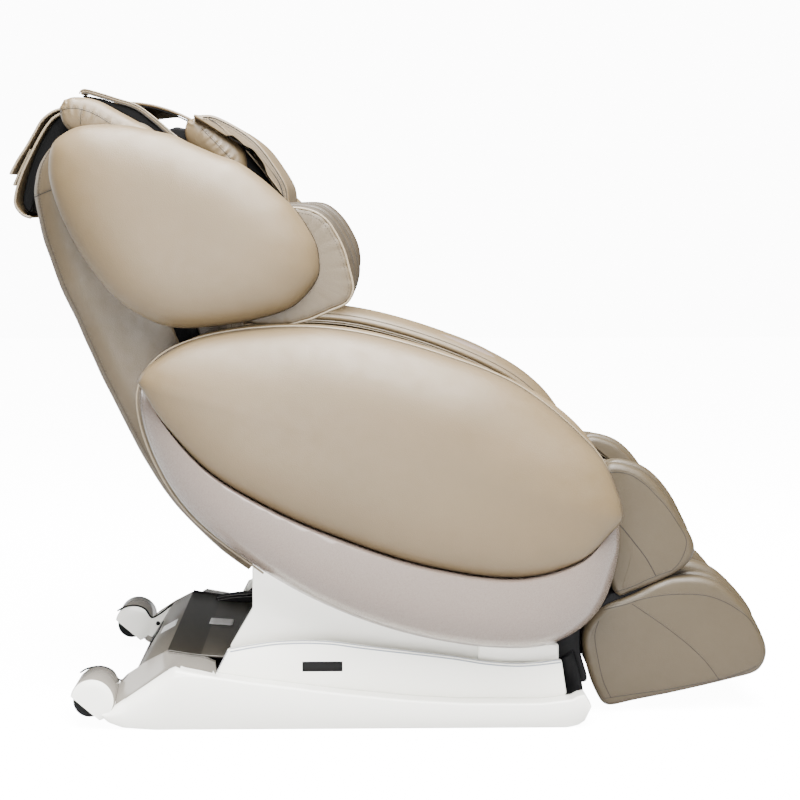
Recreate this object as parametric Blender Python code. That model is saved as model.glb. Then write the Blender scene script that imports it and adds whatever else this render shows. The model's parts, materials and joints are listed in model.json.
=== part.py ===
"""Zero-gravity massage chair, modelled as the pieces it comes apart into.

The chair faces +X and stands on z = 0; the origin is the middle of its footprint.
"left" is the sitter's left hand, on the +Y side. Lengths are in metres, angles in degrees.

Moving groups, each held by an empty on its own joint axis:
  base -> carriage (slides forward) -> seat (tilts) -> back (reclines), legrest and actuators
"""
import math

import bmesh
import bpy
from mathutils import Vector

# ---------------------------------------------------------------- driving dimensions
GAP = 0.0005                # clearance between faces that touch on the real chair

TILT_PIVOT = (-0.020, 0.300)        # (x, z): seat frame on the carriage
BACK_HINGE = (-0.360, 0.460)        # backrest on the seat frame
CALF_HINGE = (0.345, 0.430)         # legrest on the seat frame
PILLOW_HINGE = (-0.600, 1.182)      # pillow flap where it is sewn on behind the headrest

LEAN = 20.1                 # backrest line, degrees back from upright
LEG_LEAN = 22.0             # legrest line, degrees forward from straight down
BACK_LOW = (-0.545, 0.615)  # zero point of the backrest line, on the rear shell

RECLINE_RANGE = 30.0
LEG_RANGE = 80.0

ARM_INNER = 0.276           # |y| of the arm housings, inside to outside
ARM_PLATE = 0.345
ARM_OUTER = 0.445
HEAD_INNER = 0.292          # |y| of the head-side housings
HEAD_OUTER = 0.400
RAIL_IN, RAIL_OUT = 0.205, 0.245    # |y| of the base frame's two rails
LUG_IN, LUG_OUT = 0.2085, 0.2215    # |y| of the seat frame's hinge lugs
LEG_IN, LEG_OUT = 0.205, 0.248      # |y| of the legrest's side walls
LEG_MID = 0.028             # half thickness of the wall between the legs

PIN_R = 0.0080              # hinge shafts
BORE_R = 0.0085
SMALL_PIN_R = 0.0060        # actuator pins
RECLINE_CRANK = 0.058       # crank radius of the backrest drive
LEG_CRANK = 0.070           # crank radius of the legrest drive
LIFT_LOW = (0.115, 0.125)   # lower pin of the tilt actuator, on the carriage
LIFT_TOP = (0.200, 0.362)   # upper pin, on the seat frame
LIFT_Y = -0.060
LEG_DRIVE_Y = 0.100

WHEEL = (-0.582, 0.050)     # transport wheel centre
WHEEL_R = 0.0325
WHEEL_Y = 0.301

ROLLER_S = 0.060            # massage carriage, rest position along the backrest line
ROLLER_REACH = 0.060        # massage rollers above and below the kneading shaft
SHAFT_DEPTH = 0.112
ROLLER_DEPTH = 0.138
ROLLER_R = 0.022

# ---------------------------------------------------------------- outlines, as (x, z)
ARM_OUTLINE = [
    (-0.481, 0.621), (-0.453, 0.510), (-0.382, 0.401), (-0.252, 0.297), (-0.110, 0.221),
    (0.039, 0.172), (0.188, 0.149), (0.295, 0.159), (0.376, 0.219), (0.412, 0.320),
    (0.407, 0.415), (0.360, 0.528), (0.228, 0.641), (0.078, 0.704), (-0.087, 0.747),
    (-0.232, 0.755), (-0.367, 0.735), (-0.450, 0.692),
]
ARM_SEAM = [
    (-0.474, 0.660), (-0.430, 0.587), (-0.350, 0.498), (-0.240, 0.430), (-0.119, 0.376),
    (0.041, 0.322), (0.208, 0.297), (0.325, 0.324), (0.385, 0.378), (0.409, 0.405),
]
ARM_TOP = [
    (0.400, 0.450), (0.360, 0.528), (0.228, 0.641), (0.078, 0.704), (-0.087, 0.747),
    (-0.232, 0.755), (-0.367, 0.735), (-0.450, 0.692),
]
HEAD_OUTLINE = [
    (-0.635, 1.045), (-0.608, 1.103), (-0.522, 1.120), (-0.408, 1.101), (-0.300, 1.055),
    (-0.205, 0.983), (-0.153, 0.906), (-0.150, 0.846), (-0.194, 0.793), (-0.287, 0.763),
    (-0.389, 0.753), (-0.480, 0.780), (-0.560, 0.858), (-0.612, 0.952),
]
WING_OUTLINE = [
    (-0.330, 0.800), (-0.340, 0.930), (-0.230, 0.990), (-0.160, 0.979), (-0.105, 0.943),
    (-0.077, 0.889), (-0.076, 0.835), (-0.100, 0.797), (-0.180, 0.775), (-0.260, 0.772),
]
SHELL_REAR = [
    (-0.292, 0.276), (-0.343, 0.311), (-0.400, 0.366), (-0.446, 0.426), (-0.495, 0.512),
    (-0.545, 0.615), (-0.595, 0.727), (-0.639, 0.838), (-0.668, 0.935), (-0.678, 0.994),
    (-0.672, 1.038), (-0.656, 1.068), (-0.641, 1.086),
]
CALF_OUTLINE = [
    (0.372, 0.376), (0.384, 0.440), (0.397, 0.472), (0.428, 0.482), (0.470, 0.462),
    (0.519, 0.409), (0.558, 0.346), (0.566, 0.318), (0.552, 0.290), (0.500, 0.259),
    (0.428, 0.228), (0.408, 0.262),
]
FOOT_OUTLINE = [
    (0.358, 0.150), (0.376, 0.190), (0.410, 0.208), (0.454, 0.227), (0.498, 0.249),
    (0.533, 0.259), (0.577, 0.260), (0.613, 0.249), (0.644, 0.226), (0.676, 0.192),
    (0.703, 0.140), (0.706, 0.100), (0.687, 0.077), (0.590, 0.052), (0.457, 0.024),
    (0.410, 0.016), (0.390, 0.031), (0.372, 0.080),
]
SKIRT_OUTLINE = [
    (-0.536, 0.030), (-0.532, 0.050), (-0.478, 0.081), (-0.440, 0.108), (-0.420, 0.119),
    (-0.399, 0.111), (-0.344, 0.098), (-0.186, 0.073), (-0.035, 0.056), (0.117, 0.048),
    (0.268, 0.047), (0.325, 0.054), (0.345, 0.068), (0.360, 0.034), (0.345, 0.008),
    (0.317, 0.000), (-0.458, 0.000), (-0.518, 0.005), (-0.536, 0.018),
]
SIDE_COVER_TOP = [
    (-0.323, 0.143), (-0.262, 0.153), (-0.212, 0.158), (-0.136, 0.157), (-0.060, 0.147),
    (0.092, 0.128), (0.168, 0.116), (0.235, 0.112), (0.308, 0.119),
]
RISER_OUTLINE = [
    (-0.278, 0.300), (-0.278, 0.215), (-0.321, 0.141), (-0.310, 0.086), (0.160, 0.086),
    (0.160, 0.170), (0.060, 0.325), (-0.100, 0.335), (-0.230, 0.325),
]
PILLOW_OUTLINE = [
    (-0.418, 1.116), (-0.389, 1.138), (-0.343, 1.140), (-0.291, 1.107), (-0.231, 1.050),
    (-0.204, 0.985), (-0.215, 0.945), (-0.260, 0.932), (-0.315, 0.960), (-0.355, 1.020),
]
REAR_FLAP_OUTLINE = [
    (-0.655, 1.152), (-0.690, 1.112), (-0.722, 1.064), (-0.737, 1.030), (-0.729, 0.975),
    (-0.712, 0.950), (-0.700, 0.957), (-0.706, 0.990), (-0.700, 1.030), (-0.680, 1.075),
    (-0.656, 1.112), (-0.644, 1.130),
]
# the back cushion's side outline, as (distance along the backrest line, depth)
BACK_PAD_OUTLINE = [
    (-0.210, 0.172), (0.100, 0.172), (0.440, 0.172), (0.482, 0.150), (0.490, 0.088),
    (0.525, 0.092), (0.544, 0.135), (0.526, 0.178), (0.487, 0.214), (0.442, 0.247),
    (0.320, 0.290), (0.200, 0.285), (0.000, 0.235), (-0.120, 0.218), (-0.210, 0.215),
]

SIDES = {"right": -1, "left": 1}


# ---------------------------------------------------------------- points and directions
def turned(vector, degrees):
    """An (x, z) vector turned so that +x goes towards +z."""
    c = math.cos(math.radians(degrees))
    s = math.sin(math.radians(degrees))
    return (vector[0] * c - vector[1] * s, vector[0] * s + vector[1] * c)


def along(origin, axis, s, d):
    """The point s along an axis and d to its front, all in (x, z)."""
    front = (axis[1], -axis[0])
    return (origin[0] + s * axis[0] + d * front[0], origin[1] + s * axis[1] + d * front[1])


def on_back(s, d):
    """A point s up the backrest line and d in front of it."""
    return along(BACK_LOW, turned((0, 1), LEAN), s, d)


def on_leg(s, d):
    """A point s down the legrest line from its hinge and d in front of it."""
    axis = turned((0, -1), LEG_LEAN)
    return along(CALF_HINGE, axis, s, -d)


def smooth(points, steps, closed=True):
    """A Catmull-Rom curve through the points."""
    count = len(points)
    spans = count if closed else count - 1
    result = []
    for i in range(spans):
        if closed:
            p = [points[(i + k) % count] for k in (-1, 0, 1, 2)]
        else:
            p = [points[min(max(i + k, 0), count - 1)] for k in (-1, 0, 1, 2)]
        for step in range(steps):
            t = step / steps
            weights = (
                -0.5 * t + t * t - 0.5 * t ** 3,
                1 - 2.5 * t * t + 1.5 * t ** 3,
                0.5 * t + 2 * t * t - 1.5 * t ** 3,
                -0.5 * t * t + 0.5 * t ** 3,
            )
            result.append(tuple(sum(w * q[k] for w, q in zip(weights, p)) for k in (0, 1)))
    if not closed:
        result.append(tuple(points[-1]))
    return result


def middle(outline):
    """The mean of an outline's box."""
    xs = [p[0] for p in outline]
    zs = [p[1] for p in outline]
    return ((min(xs) + max(xs)) / 2, (min(zs) + max(zs)) / 2)


def scaled(outline, factor):
    """The outline shrunk or grown about its middle."""
    cx, cz = middle(outline)
    return [(cx + (x - cx) * factor, cz + (z - cz) * factor) for x, z in outline]


# ---------------------------------------------------------------- scene, bodies, materials
bodies = {}


def clear_scene():
    for item in list(bpy.data.objects):
        bpy.data.objects.remove(item, do_unlink=True)


def body(name, x=0.0, y=0.0, z=0.0, parent=None):
    """An empty on a joint's axis, which carries the pieces that move together."""
    empty = bpy.data.objects.new("body_" + name, None)
    empty.empty_display_size = 0.03
    bpy.context.scene.collection.objects.link(empty)
    at = Vector((x, y, z))
    if parent:
        empty.parent = bodies[parent][0]
        empty.location = at - bodies[parent][1]
    else:
        empty.location = at
    bodies[name] = (empty, at)


FINISHES = {
    "leather": ((0.50, 0.44, 0.35), 0.45, 0.0),
    "leather_inner": ((0.40, 0.37, 0.32), 0.55, 0.0),
    "pearl_shell": ((0.48, 0.44, 0.43), 0.25, 0.1),
    "white_plastic": ((0.83, 0.81, 0.79), 0.30, 0.0),
    "brown_plastic": ((0.13, 0.11, 0.09), 0.35, 0.4),
    "black_plastic": ((0.02, 0.02, 0.02), 0.50, 0.0),
    "black_rubber": ((0.03, 0.03, 0.03), 0.80, 0.0),
    "painted_steel": ((0.08, 0.08, 0.09), 0.45, 0.6),
    "bright_steel": ((0.60, 0.60, 0.62), 0.25, 1.0),
}


def material(name):
    """The Principled material of one finish, made on first use."""
    found = bpy.data.materials.get(name)
    if found:
        return found
    colour, roughness, metallic = FINISHES[name]
    made = bpy.data.materials.new(name)
    made.use_nodes = True
    shader = made.node_tree.nodes["Principled BSDF"]
    shader.inputs["Base Color"].default_value = (*colour, 1)
    shader.inputs["Roughness"].default_value = roughness
    shader.inputs["Metallic"].default_value = metallic
    return made


# ---------------------------------------------------------------- building blocks
def new_object(name, bm):
    """A mesh object whose origin is the middle of its own box."""
    bmesh.ops.recalc_face_normals(bm, faces=bm.faces)
    corners = [v.co for v in bm.verts]
    low = Vector(min(c[k] for c in corners) for k in range(3))
    high = Vector(max(c[k] for c in corners) for k in range(3))
    centre = (low + high) / 2
    bmesh.ops.translate(bm, verts=bm.verts, vec=-centre)
    mesh = bpy.data.meshes.new(name)
    bm.to_mesh(mesh)
    bm.free()
    made = bpy.data.objects.new(name, mesh)
    made.location = centre
    bpy.context.scene.collection.objects.link(made)
    return made


def finish(made, group, finish_name, smooth_angle=35):
    """Gives a piece its material and hangs it on the body that it moves with."""
    made.data.materials.append(material(finish_name))
    made.data.shade_smooth()
    made.data.set_sharp_from_angle(angle=math.radians(smooth_angle))
    empty, at = bodies[group]
    made.parent = empty
    made.location = made.location - at
    return made


def ring_solid(name, rings):
    """A closed solid through rings of points, all with the same count, capped at both ends."""
    bm = bmesh.new()
    rows = [[bm.verts.new(p) for p in ring] for ring in rings]
    count = len(rows[0])
    for a, b in zip(rows, rows[1:]):
        for i in range(count):
            j = (i + 1) % count
            bm.faces.new((a[i], a[j], b[j], b[i]))
    bm.faces.new(rows[0])
    bm.faces.new(list(reversed(rows[-1])))
    return new_object(name, bm)


def layered(name, outline, levels):
    """An (x, z) outline stacked along y; each level is (y, scale of the outline)."""
    rings = []
    for y, factor in levels:
        rings.append([(x, y, z) for x, z in scaled(outline, factor)])
    return ring_solid(name, rings)


def prism(name, outline, y0, y1):
    return layered(name, outline, [(y0, 1.0), (y1, 1.0)])


def cushion_block(name, outline, y0, y1, edge=0.012, shrink=0.95):
    """A prism with softened rims, for padded pieces."""
    step = edge if y1 > y0 else -edge
    levels = [(y0, shrink), (y0 + step, 1.0), (y1 - step, 1.0), (y1, shrink)]
    return layered(name, outline, levels)


def box(name, x0, x1, y0, y1, z0, z1):
    return prism(name, [(x0, z0), (x1, z0), (x1, z1), (x0, z1)], y0, y1)


def bar(name, p, q, width, y0, y1):
    """A straight flat bar from p to q in the (x, z) plane."""
    dx, dz = q[0] - p[0], q[1] - p[1]
    length = math.hypot(dx, dz)
    nx, nz = -dz / length * width / 2, dx / length * width / 2
    outline = [
        (p[0] + nx, p[1] + nz), (p[0] - nx, p[1] - nz),
        (q[0] - nx, q[1] - nz), (q[0] + nx, q[1] + nz),
    ]
    return prism(name, outline, y0, y1)


def circle(centre, radius, sides):
    """A circle as an outline, with a flat side up."""
    turn = [2 * math.pi * (i + 0.5) / sides for i in range(sides)]
    return [(centre[0] + radius * math.cos(t), centre[1] + radius * math.sin(t)) for t in turn]


def disc(name, centre, radius, y0, y1, sides=20):
    return prism(name, circle(centre, radius, sides), y0, y1)


def rod(name, p, q, radius, y, sides=16):
    """A round rod between two (x, z) points in the plane at y."""
    start = Vector((p[0], y, p[1]))
    end = Vector((q[0], y, q[1]))
    turn = (end - start).to_track_quat("Z", "Y")
    rings = []
    for at in (start, end):
        ring = []
        for i in range(sides):
            t = 2 * math.pi * i / sides
            offset = turn @ Vector((radius * math.cos(t), radius * math.sin(t), 0))
            ring.append(at + offset)
        rings.append(ring)
    return ring_solid(name, rings)


def wheel(name, centre, radius, bore, y0, y1, crown=0.0, sides=28):
    """A disc with a bore and a slightly crowned tread."""
    mid = (y0 + y1) / 2
    profile = [(bore, y0), (radius - crown, y0), (radius, mid), (radius - crown, y1), (bore, y1)]
    bm = bmesh.new()
    rows = []
    for i in range(sides):
        t = 2 * math.pi * i / sides
        row = []
        for r, y in profile:
            row.append(bm.verts.new((centre[0] + r * math.cos(t), y, centre[1] + r * math.sin(t))))
        rows.append(row)
    size = len(profile)
    for i in range(sides):
        a, b = rows[i], rows[(i + 1) % sides]
        for k in range(size):
            j = (k + 1) % size
            bm.faces.new((a[k], a[j], b[j], b[k]))
    return new_object(name, bm)


def combine(target, add=(), cut=()):
    """Joins tools to a piece, then cuts others out of it, with exact Booleans."""
    for tools, operation in ((add, "UNION"), (cut, "DIFFERENCE")):
        for tool in tools:
            tool.hide_render = True
            tool.display_type = "WIRE"
            modifier = target.modifiers.new(operation.title(), "BOOLEAN")
            modifier.operation = operation
            modifier.solver = "EXACT"
            modifier.object = tool
    return target


def rounded(made, width, segments=2, angle=40):
    """Bevels the sharp edges."""
    modifier = made.modifiers.new("Bevel", "BEVEL")
    modifier.width = width
    modifier.segments = segments
    modifier.limit_method = "ANGLE"
    modifier.angle_limit = math.radians(angle)
    return made


# ---------------------------------------------------------------- base
RAIL_TOP = 0.050
SLIDE_TOP = 0.072
PAN_TOP = 0.012


def base_frame():
    piece = box("base_frame", -0.50, 0.30, -RAIL_IN, RAIL_IN, 0.006, PAN_TOP)
    parts = []
    for side in SIDES.values():
        parts.append(box("rail_tool", -0.50, 0.30, side * (RAIL_IN - 0.002), side * RAIL_OUT, 0, RAIL_TOP))
        parts.append(box("slide_tool", -0.29, 0.295, side * 0.222, side * 0.240, 0.045, SLIDE_TOP))
    for x in (-0.455, 0.26):
        parts.append(box("cross_tool", x, x + 0.04, -0.21, 0.21, 0.005, 0.045))
    finish(combine(piece, parts), "base", "painted_steel")


def base_boxes():
    floor = PAN_TOP + GAP
    control = box("control_box", -0.41, -0.26, -0.19, -0.02, floor, 0.088)
    finish(rounded(control, 0.004), "base", "black_plastic")
    pump = box("air_pump", -0.41, -0.24, 0.02, 0.18, floor, 0.084)
    parts = [rod("head_tool", (-0.35, 0.080), (-0.35, 0.096), 0.030, 0.10, 20)]
    finish(combine(rounded(pump, 0.004), parts), "base", "black_plastic")


def skirts():
    """Lower side covers, which the chair stands on, with a shelf that reaches in to the rear cover."""
    outline = [(x, max(z, 0.0)) for x, z in smooth(SKIRT_OUTLINE, 2)]
    shelf = [(-0.495, 0.020), (-0.495, 0.098), (-0.444, 0.123), (-0.398, 0.115), (-0.351, 0.099),
             (-0.351, 0.020)]
    for label, side in SIDES.items():
        piece = rounded(prism("skirt_" + label, outline, side * 0.3065, side * 0.3475), 0.006, 2, 60)
        inner = prism("shelf_tool", shelf, side * 0.2545, side * 0.320)
        finish(combine(piece, [inner]), "base", "white_plastic")


def side_covers():
    outline = smooth(SIDE_COVER_TOP, 2, closed=False)
    outline += [(0.318, 0.054), (0.300, 0.030), (-0.320, 0.030), (-0.346, 0.095)]
    for label, side in SIDES.items():
        piece = prism("side_cover_" + label, outline, side * 0.292, side * 0.306)
        finish(piece, "base", "white_plastic")


REAR_COVER_LINE = [
    (-0.532, 0.030), (-0.484, 0.106), (-0.442, 0.129), (-0.379, 0.119), (-0.272, 0.112),
]
INLET_MID = 0.48            # place of the inlet along the sloping rear face, 0 to 1


def rear_face(t, depth):
    """A point on the rear cover's sloping back face, depth inwards."""
    (x0, z0), (x1, z1) = REAR_COVER_LINE[:2]
    length = math.hypot(x1 - x0, z1 - z0)
    ux, uz = (x1 - x0) / length, (z1 - z0) / length
    return (x0 + ux * t * length + uz * depth, z0 + uz * t * length - ux * depth)


def rear_cover():
    thickness = 0.004
    outer = REAR_COVER_LINE
    inner = [rear_face(0, thickness), (-0.4815, 0.1020), (-0.4415, 0.1246), (-0.3790, 0.1148),
             (-0.272, 0.1078)]
    piece = prism("rear_cover", outer + list(reversed(inner)), -0.252, 0.252)
    window = [rear_face(0.20, -0.01), rear_face(0.76, -0.01), rear_face(0.76, 0.02), rear_face(0.20, 0.02)]
    finish(combine(piece, cut=[prism("window_tool", window, 0.060, 0.150)]), "base", "brown_plastic")


def power_inlet():
    """Mains inlet and rocker housing, filling the window in the rear cover."""
    def block(t0, t1, d0, d1):
        return [rear_face(t0, d0), rear_face(t1, d0), rear_face(t1, d1), rear_face(t0, d1)]
    piece = prism("power_inlet", block(0.21, 0.75, -0.002, 0.022), 0.061, 0.149)
    cuts = [
        prism("socket_tool", block(0.30, 0.66, -0.010, 0.016), 0.068, 0.098),
        prism("rocker_tool", block(0.30, 0.66, -0.010, 0.014), 0.110, 0.140),
    ]
    finish(combine(piece, cut=cuts), "base", "black_plastic")


def power_switch():
    """A rocker that sits tilted in its recess and turns about its middle."""
    centre = rear_face(INLET_MID, 0.006)
    body("power_rocker", centre[0], 0.125, centre[1], "base")
    (x0, z0), (x1, z1) = REAR_COVER_LINE[:2]
    slope = math.degrees(math.atan2(z1 - z0, x1 - x0))
    shape = [(-0.0125, 0.000), (0.0, -0.004), (0.0125, 0.000), (0.0115, 0.0085), (0.0, 0.0060),
             (-0.0115, 0.0085)]
    outline = []
    for p in shape:
        q = turned(p, slope - 8.0)
        outline.append((centre[0] + q[0], centre[1] + q[1]))
    piece = prism("power_switch", outline, 0.1115, 0.1385)
    finish(piece, "power_rocker", "black_plastic")


def front_cover():
    outline = [(0.306, 0.100), (0.338, 0.122), (0.350, 0.086), (0.358, 0.040), (0.350, 0.033),
               (0.306, 0.033)]
    piece = prism("front_cover", outline, -0.245, 0.245)
    finish(rounded(piece, 0.004), "base", "black_plastic")


def transport_wheels():
    """Wheels that touch the floor only when the chair is tipped back on them."""
    cheek = 0.0075
    half = 0.0275
    for label, side in SIDES.items():
        y0 = side * (WHEEL_Y - half)
        y1 = side * (WHEEL_Y + half)
        hood = disc("wheel_cover_" + label, (WHEEL[0] + 0.004, WHEEL[1]), 0.0385, y0, y1, 32)
        arm = prism("arm_tool", [(-0.560, 0.030), (-0.505, 0.020), (-0.505, 0.085), (-0.560, 0.080)],
                    y0, side * (WHEEL_Y - half + 0.026))
        pocket = disc("pocket_tool", WHEEL, 0.0345, y0 + side * cheek, y1 - side * cheek, 32)
        mouth = prism("mouth_tool", [(-0.640, 0.030), (-0.582, 0.050), (-0.5615, 0.000), (-0.640, -0.02)],
                      y0 + side * cheek, y1 - side * cheek)
        slope = prism("slope_tool", [(-0.650, 0.062), (-0.548, -0.010), (-0.65, -0.05)],
                      side * 0.25, side * 0.35)
        pin = disc("pin_tool", WHEEL, 0.0045, y0 + side * 0.004, y1 - side * 0.004, 12)
        combine(hood, [arm], [pocket, mouth, slope])
        combine(hood, [pin])
        finish(hood, "base", "white_plastic")
        body("wheel_" + label, WHEEL[0], side * WHEEL_Y, WHEEL[1], "base")
        tyre = wheel("transport_wheel_" + label, WHEEL, WHEEL_R, 0.0050, y0 + side * (cheek + 0.0015),
                     y1 - side * (cheek + 0.0015), 0.002)
        finish(tyre, "wheel_" + label, "black_rubber")


# ---------------------------------------------------------------- sliding carriage
PLATE_IN, PLATE_OUT = 0.2255, 0.2395


def lift_cheeks(low, high, reach):
    """Two small ears and the pin between them, which hold one end of the tilt actuator."""
    tools = []
    for y in (LIFT_Y - 0.025, LIFT_Y + 0.018):
        tools.append(box("ear_tool", low[0] - 0.016, low[0] + 0.016, y, y + 0.007, *sorted((high, reach))))
    tools.append(disc("ear_pin_tool", low, SMALL_PIN_R, LIFT_Y - 0.022, LIFT_Y + 0.022, 16))
    return tools


def carriage():
    body("carriage", -0.005, 0.0, 0.085, "base")
    outline = [(-0.14, SLIDE_TOP + GAP), (0.13, SLIDE_TOP + GAP), (0.13, 0.105), (0.012, 0.325),
               (-0.052, 0.325), (-0.14, 0.105)]
    piece = prism("carriage_frame", outline, PLATE_IN, PLATE_OUT)
    tools = [prism("plate_tool", outline, -PLATE_IN, -PLATE_OUT)]
    for x in (-0.14, 0.10):
        tools.append(box("cross_tool", x + 0.001, x + 0.029, -PLATE_IN - 0.005, PLATE_IN + 0.005, 0.080,
                         0.105))
    tools += lift_cheeks(LIFT_LOW, 0.100, LIFT_LOW[1] + 0.012)
    bore = disc("bore_tool", TILT_PIVOT, BORE_R, -0.3, 0.3, 24)
    finish(combine(piece, tools, [bore]), "carriage", "painted_steel")
    for label, side in SIDES.items():
        riser = prism("riser_cover_" + label, RISER_OUTLINE, side * 0.258, side * 0.272)
        finish(riser, "carriage", "white_plastic")


def lift_actuator():
    """Tilt actuator: a motor tube on the carriage and the rod that pushes the seat frame."""
    length = math.dist(LIFT_LOW, LIFT_TOP)
    ux = (LIFT_TOP[0] - LIFT_LOW[0]) / length
    uz = (LIFT_TOP[1] - LIFT_LOW[1]) / length

    def up(distance):
        return (LIFT_LOW[0] + ux * distance, LIFT_LOW[1] + uz * distance)

    body("lift_actuator", LIFT_LOW[0], LIFT_Y, LIFT_LOW[1], "carriage")
    tube = rod("lift_actuator", up(0.026), up(0.165), 0.018, LIFT_Y, 20)
    eye = disc("eye_tool", LIFT_LOW, 0.012, LIFT_Y - 0.012, LIFT_Y + 0.012, 20)
    neck = bar("neck_tool", LIFT_LOW, up(0.034), 0.020, LIFT_Y - 0.012, LIFT_Y + 0.012)
    cuts = [
        disc("bore_tool", LIFT_LOW, SMALL_PIN_R + GAP, LIFT_Y - 0.03, LIFT_Y + 0.03, 16),
        rod("bore_tool", up(0.040), up(0.20), 0.0100, LIFT_Y, 20),
    ]
    finish(combine(tube, [eye, neck], cuts), "lift_actuator", "black_plastic")
    body("lift_rod", LIFT_TOP[0], LIFT_Y, LIFT_TOP[1], "lift_actuator")
    piece = rod("lift_rod", up(0.046), up(length - 0.012), 0.0092, LIFT_Y, 16)
    head = disc("eye_tool", LIFT_TOP, 0.0165, LIFT_Y - 0.010, LIFT_Y + 0.010, 20)
    hole = disc("bore_tool", LIFT_TOP, 0.0100, LIFT_Y - 0.03, LIFT_Y + 0.03, 20)
    finish(combine(piece, [head], [hole]), "lift_rod", "bright_steel")


# ---------------------------------------------------------------- seat
SEAT_LOW, SEAT_HIGH = 0.385, 0.408


def seat_frame():
    body("seat", TILT_PIVOT[0], 0.0, TILT_PIVOT[1], "carriage")
    piece = box("seat_frame", -0.21, 0.325, 0.190, LUG_OUT, SEAT_LOW, SEAT_HIGH)
    tools = [box("rail_tool", -0.21, 0.325, -0.190, -LUG_OUT, SEAT_LOW, SEAT_HIGH)]
    for x in (-0.02, 0.185):
        tools.append(box("cross_tool", x, x + 0.03, -0.20, 0.20, SEAT_LOW + 0.001, SEAT_HIGH - 0.001))
    for side in SIDES.values():
        tools.append(box("rail_end_tool", -0.24, -0.20, side * 0.191, side * 0.218, SEAT_LOW,
                         SEAT_HIGH - 0.001))
        lug = [(-0.070, 0.390), (0.030, 0.390), (0.004, 0.290), (-0.044, 0.290)]
        tools.append(prism("lug_tool", lug, side * LUG_IN, side * LUG_OUT))
        tools.append(disc("eye_tool", TILT_PIVOT, 0.026, side * LUG_IN, side * LUG_OUT, 24))
        tools.append(bar("lug_tool", (-0.232, 0.3945), BACK_HINGE, 0.022, side * 0.200, side * 0.214))
        tools.append(disc("eye_tool", BACK_HINGE, 0.020, side * 0.200, side * 0.214, 24))
        tools.append(bar("lug_tool", (0.326, 0.391), CALF_HINGE, 0.020, side * 0.206, side * LUG_OUT))
        tools.append(disc("eye_tool", CALF_HINGE, 0.016, side * 0.206, side * LUG_OUT, 24))
    tools += lift_cheeks(LIFT_TOP, SEAT_LOW + 0.004, LIFT_TOP[1] - 0.010)
    hinges = (TILT_PIVOT, BACK_HINGE, CALF_HINGE)
    cuts = [disc("bore_tool", hinge, BORE_R, -0.3, 0.3, 24) for hinge in hinges]
    finish(combine(piece, tools, cuts), "seat", "painted_steel")


def shafts():
    tilt = disc("tilt_shaft", TILT_PIVOT, PIN_R, -0.244, 0.244, 24)
    finish(tilt, "seat", "bright_steel")
    recline = disc("recline_shaft", BACK_HINGE, PIN_R, -0.230, 0.230, 24)
    finish(recline, "seat", "bright_steel")


def seat_cushion():
    outline = [(-0.232, SEAT_HIGH + 0.003), (0.296, SEAT_HIGH + 0.003), (0.316, 0.428), (0.322, 0.445),
               (0.312, 0.460),
               (0.250, 0.472), (0.050, 0.470), (-0.150, 0.474), (-0.222, 0.468), (-0.236, 0.440)]
    piece = cushion_block("seat_cushion", outline, -0.246, 0.246, 0.012, 0.97)
    finish(lift_off_frame(piece), "seat", "leather_inner")


def lift_off_frame(piece):
    """Keeps the shrunk rims of the seat cushion on the same flat underside."""
    low = SEAT_HIGH + 0.003 - piece.location.z
    for vertex in piece.data.vertices:
        vertex.co.z = low if vertex.co.z < low + 0.006 else vertex.co.z
    return piece


def arms():
    outline = smooth(ARM_OUTLINE, 2)
    seam = smooth(ARM_SEAM, 2, closed=False)
    cushion_outline = seam + smooth([ARM_SEAM[-1]] + ARM_TOP + [ARM_SEAM[0]], 2, closed=False)[1:-1]
    above = [(0.56, 0.405), (0.56, 0.90), (-0.60, 0.90), (-0.60, 0.660)]
    for label, side in SIDES.items():
        levels = [(ARM_INNER, 0.93), (0.285, 0.985), (0.325, 1.0), (0.375, 0.99), (0.408, 0.94),
                  (0.424, 0.84), (0.431, 0.66)]
        shell = layered("arm_shell_" + label, outline, [(side * y, f) for y, f in levels])
        cutter = prism("seam_tool", seam + above, side * ARM_PLATE, side * 0.5)
        finish(combine(shell, cut=[cutter]), "seat", "pearl_shell")
        levels = [(ARM_PLATE + GAP, 0.975), (0.362, 0.994), (0.395, 0.992), (0.420, 0.955),
                  (0.436, 0.87), (ARM_OUTER, 0.68)]
        pad = layered("arm_cushion_" + label, cushion_outline, [(side * y, f) for y, f in levels])
        finish(pad, "seat", "leather")
        inner = smooth([(-0.150, 0.440), (-0.160, 0.560), (-0.120, 0.675), (0.050, 0.672), (0.200, 0.610),
                        (0.310, 0.520), (0.340, 0.440), (0.280, 0.418), (0.060, 0.418)], 3)
        piece = cushion_block("arm_inner_pad_" + label, inner, side * 0.2525, side * 0.2755, 0.007, 0.96)
        finish(piece, "seat", "leather_inner")


def crank_pin(hinge, radius, degrees):
    """Where a crank pin hangs at rest, half its swing behind the hinge."""
    swing = math.radians(degrees / 2)
    return (hinge[0] - radius * math.sin(swing), hinge[1] - radius * math.cos(swing))


def slot_middle(hinge, radius, degrees):
    """The resting pin's x and the middle height of its arc."""
    pin = crank_pin(hinge, radius, degrees)
    return (pin[0], (pin[1] + hinge[1] - radius) / 2)


def drives():
    """Backrest and legrest actuators: motor tubes fixed under the seat and sliding slotted rods."""
    back_pin = slot_middle(BACK_HINGE, RECLINE_CRANK, RECLINE_RANGE)
    drive("recline", (-0.0205, -0.165), 0.392, back_pin, 0.0095, 0.0, 0.0140, 0.034)
    leg_pin = slot_middle(CALF_HINGE, LEG_CRANK, LEG_RANGE)
    drive("legrest", (0.010, 0.185), leg_pin[1], leg_pin, 0.0165, LEG_DRIVE_Y, 0.0158, 0.0)


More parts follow.
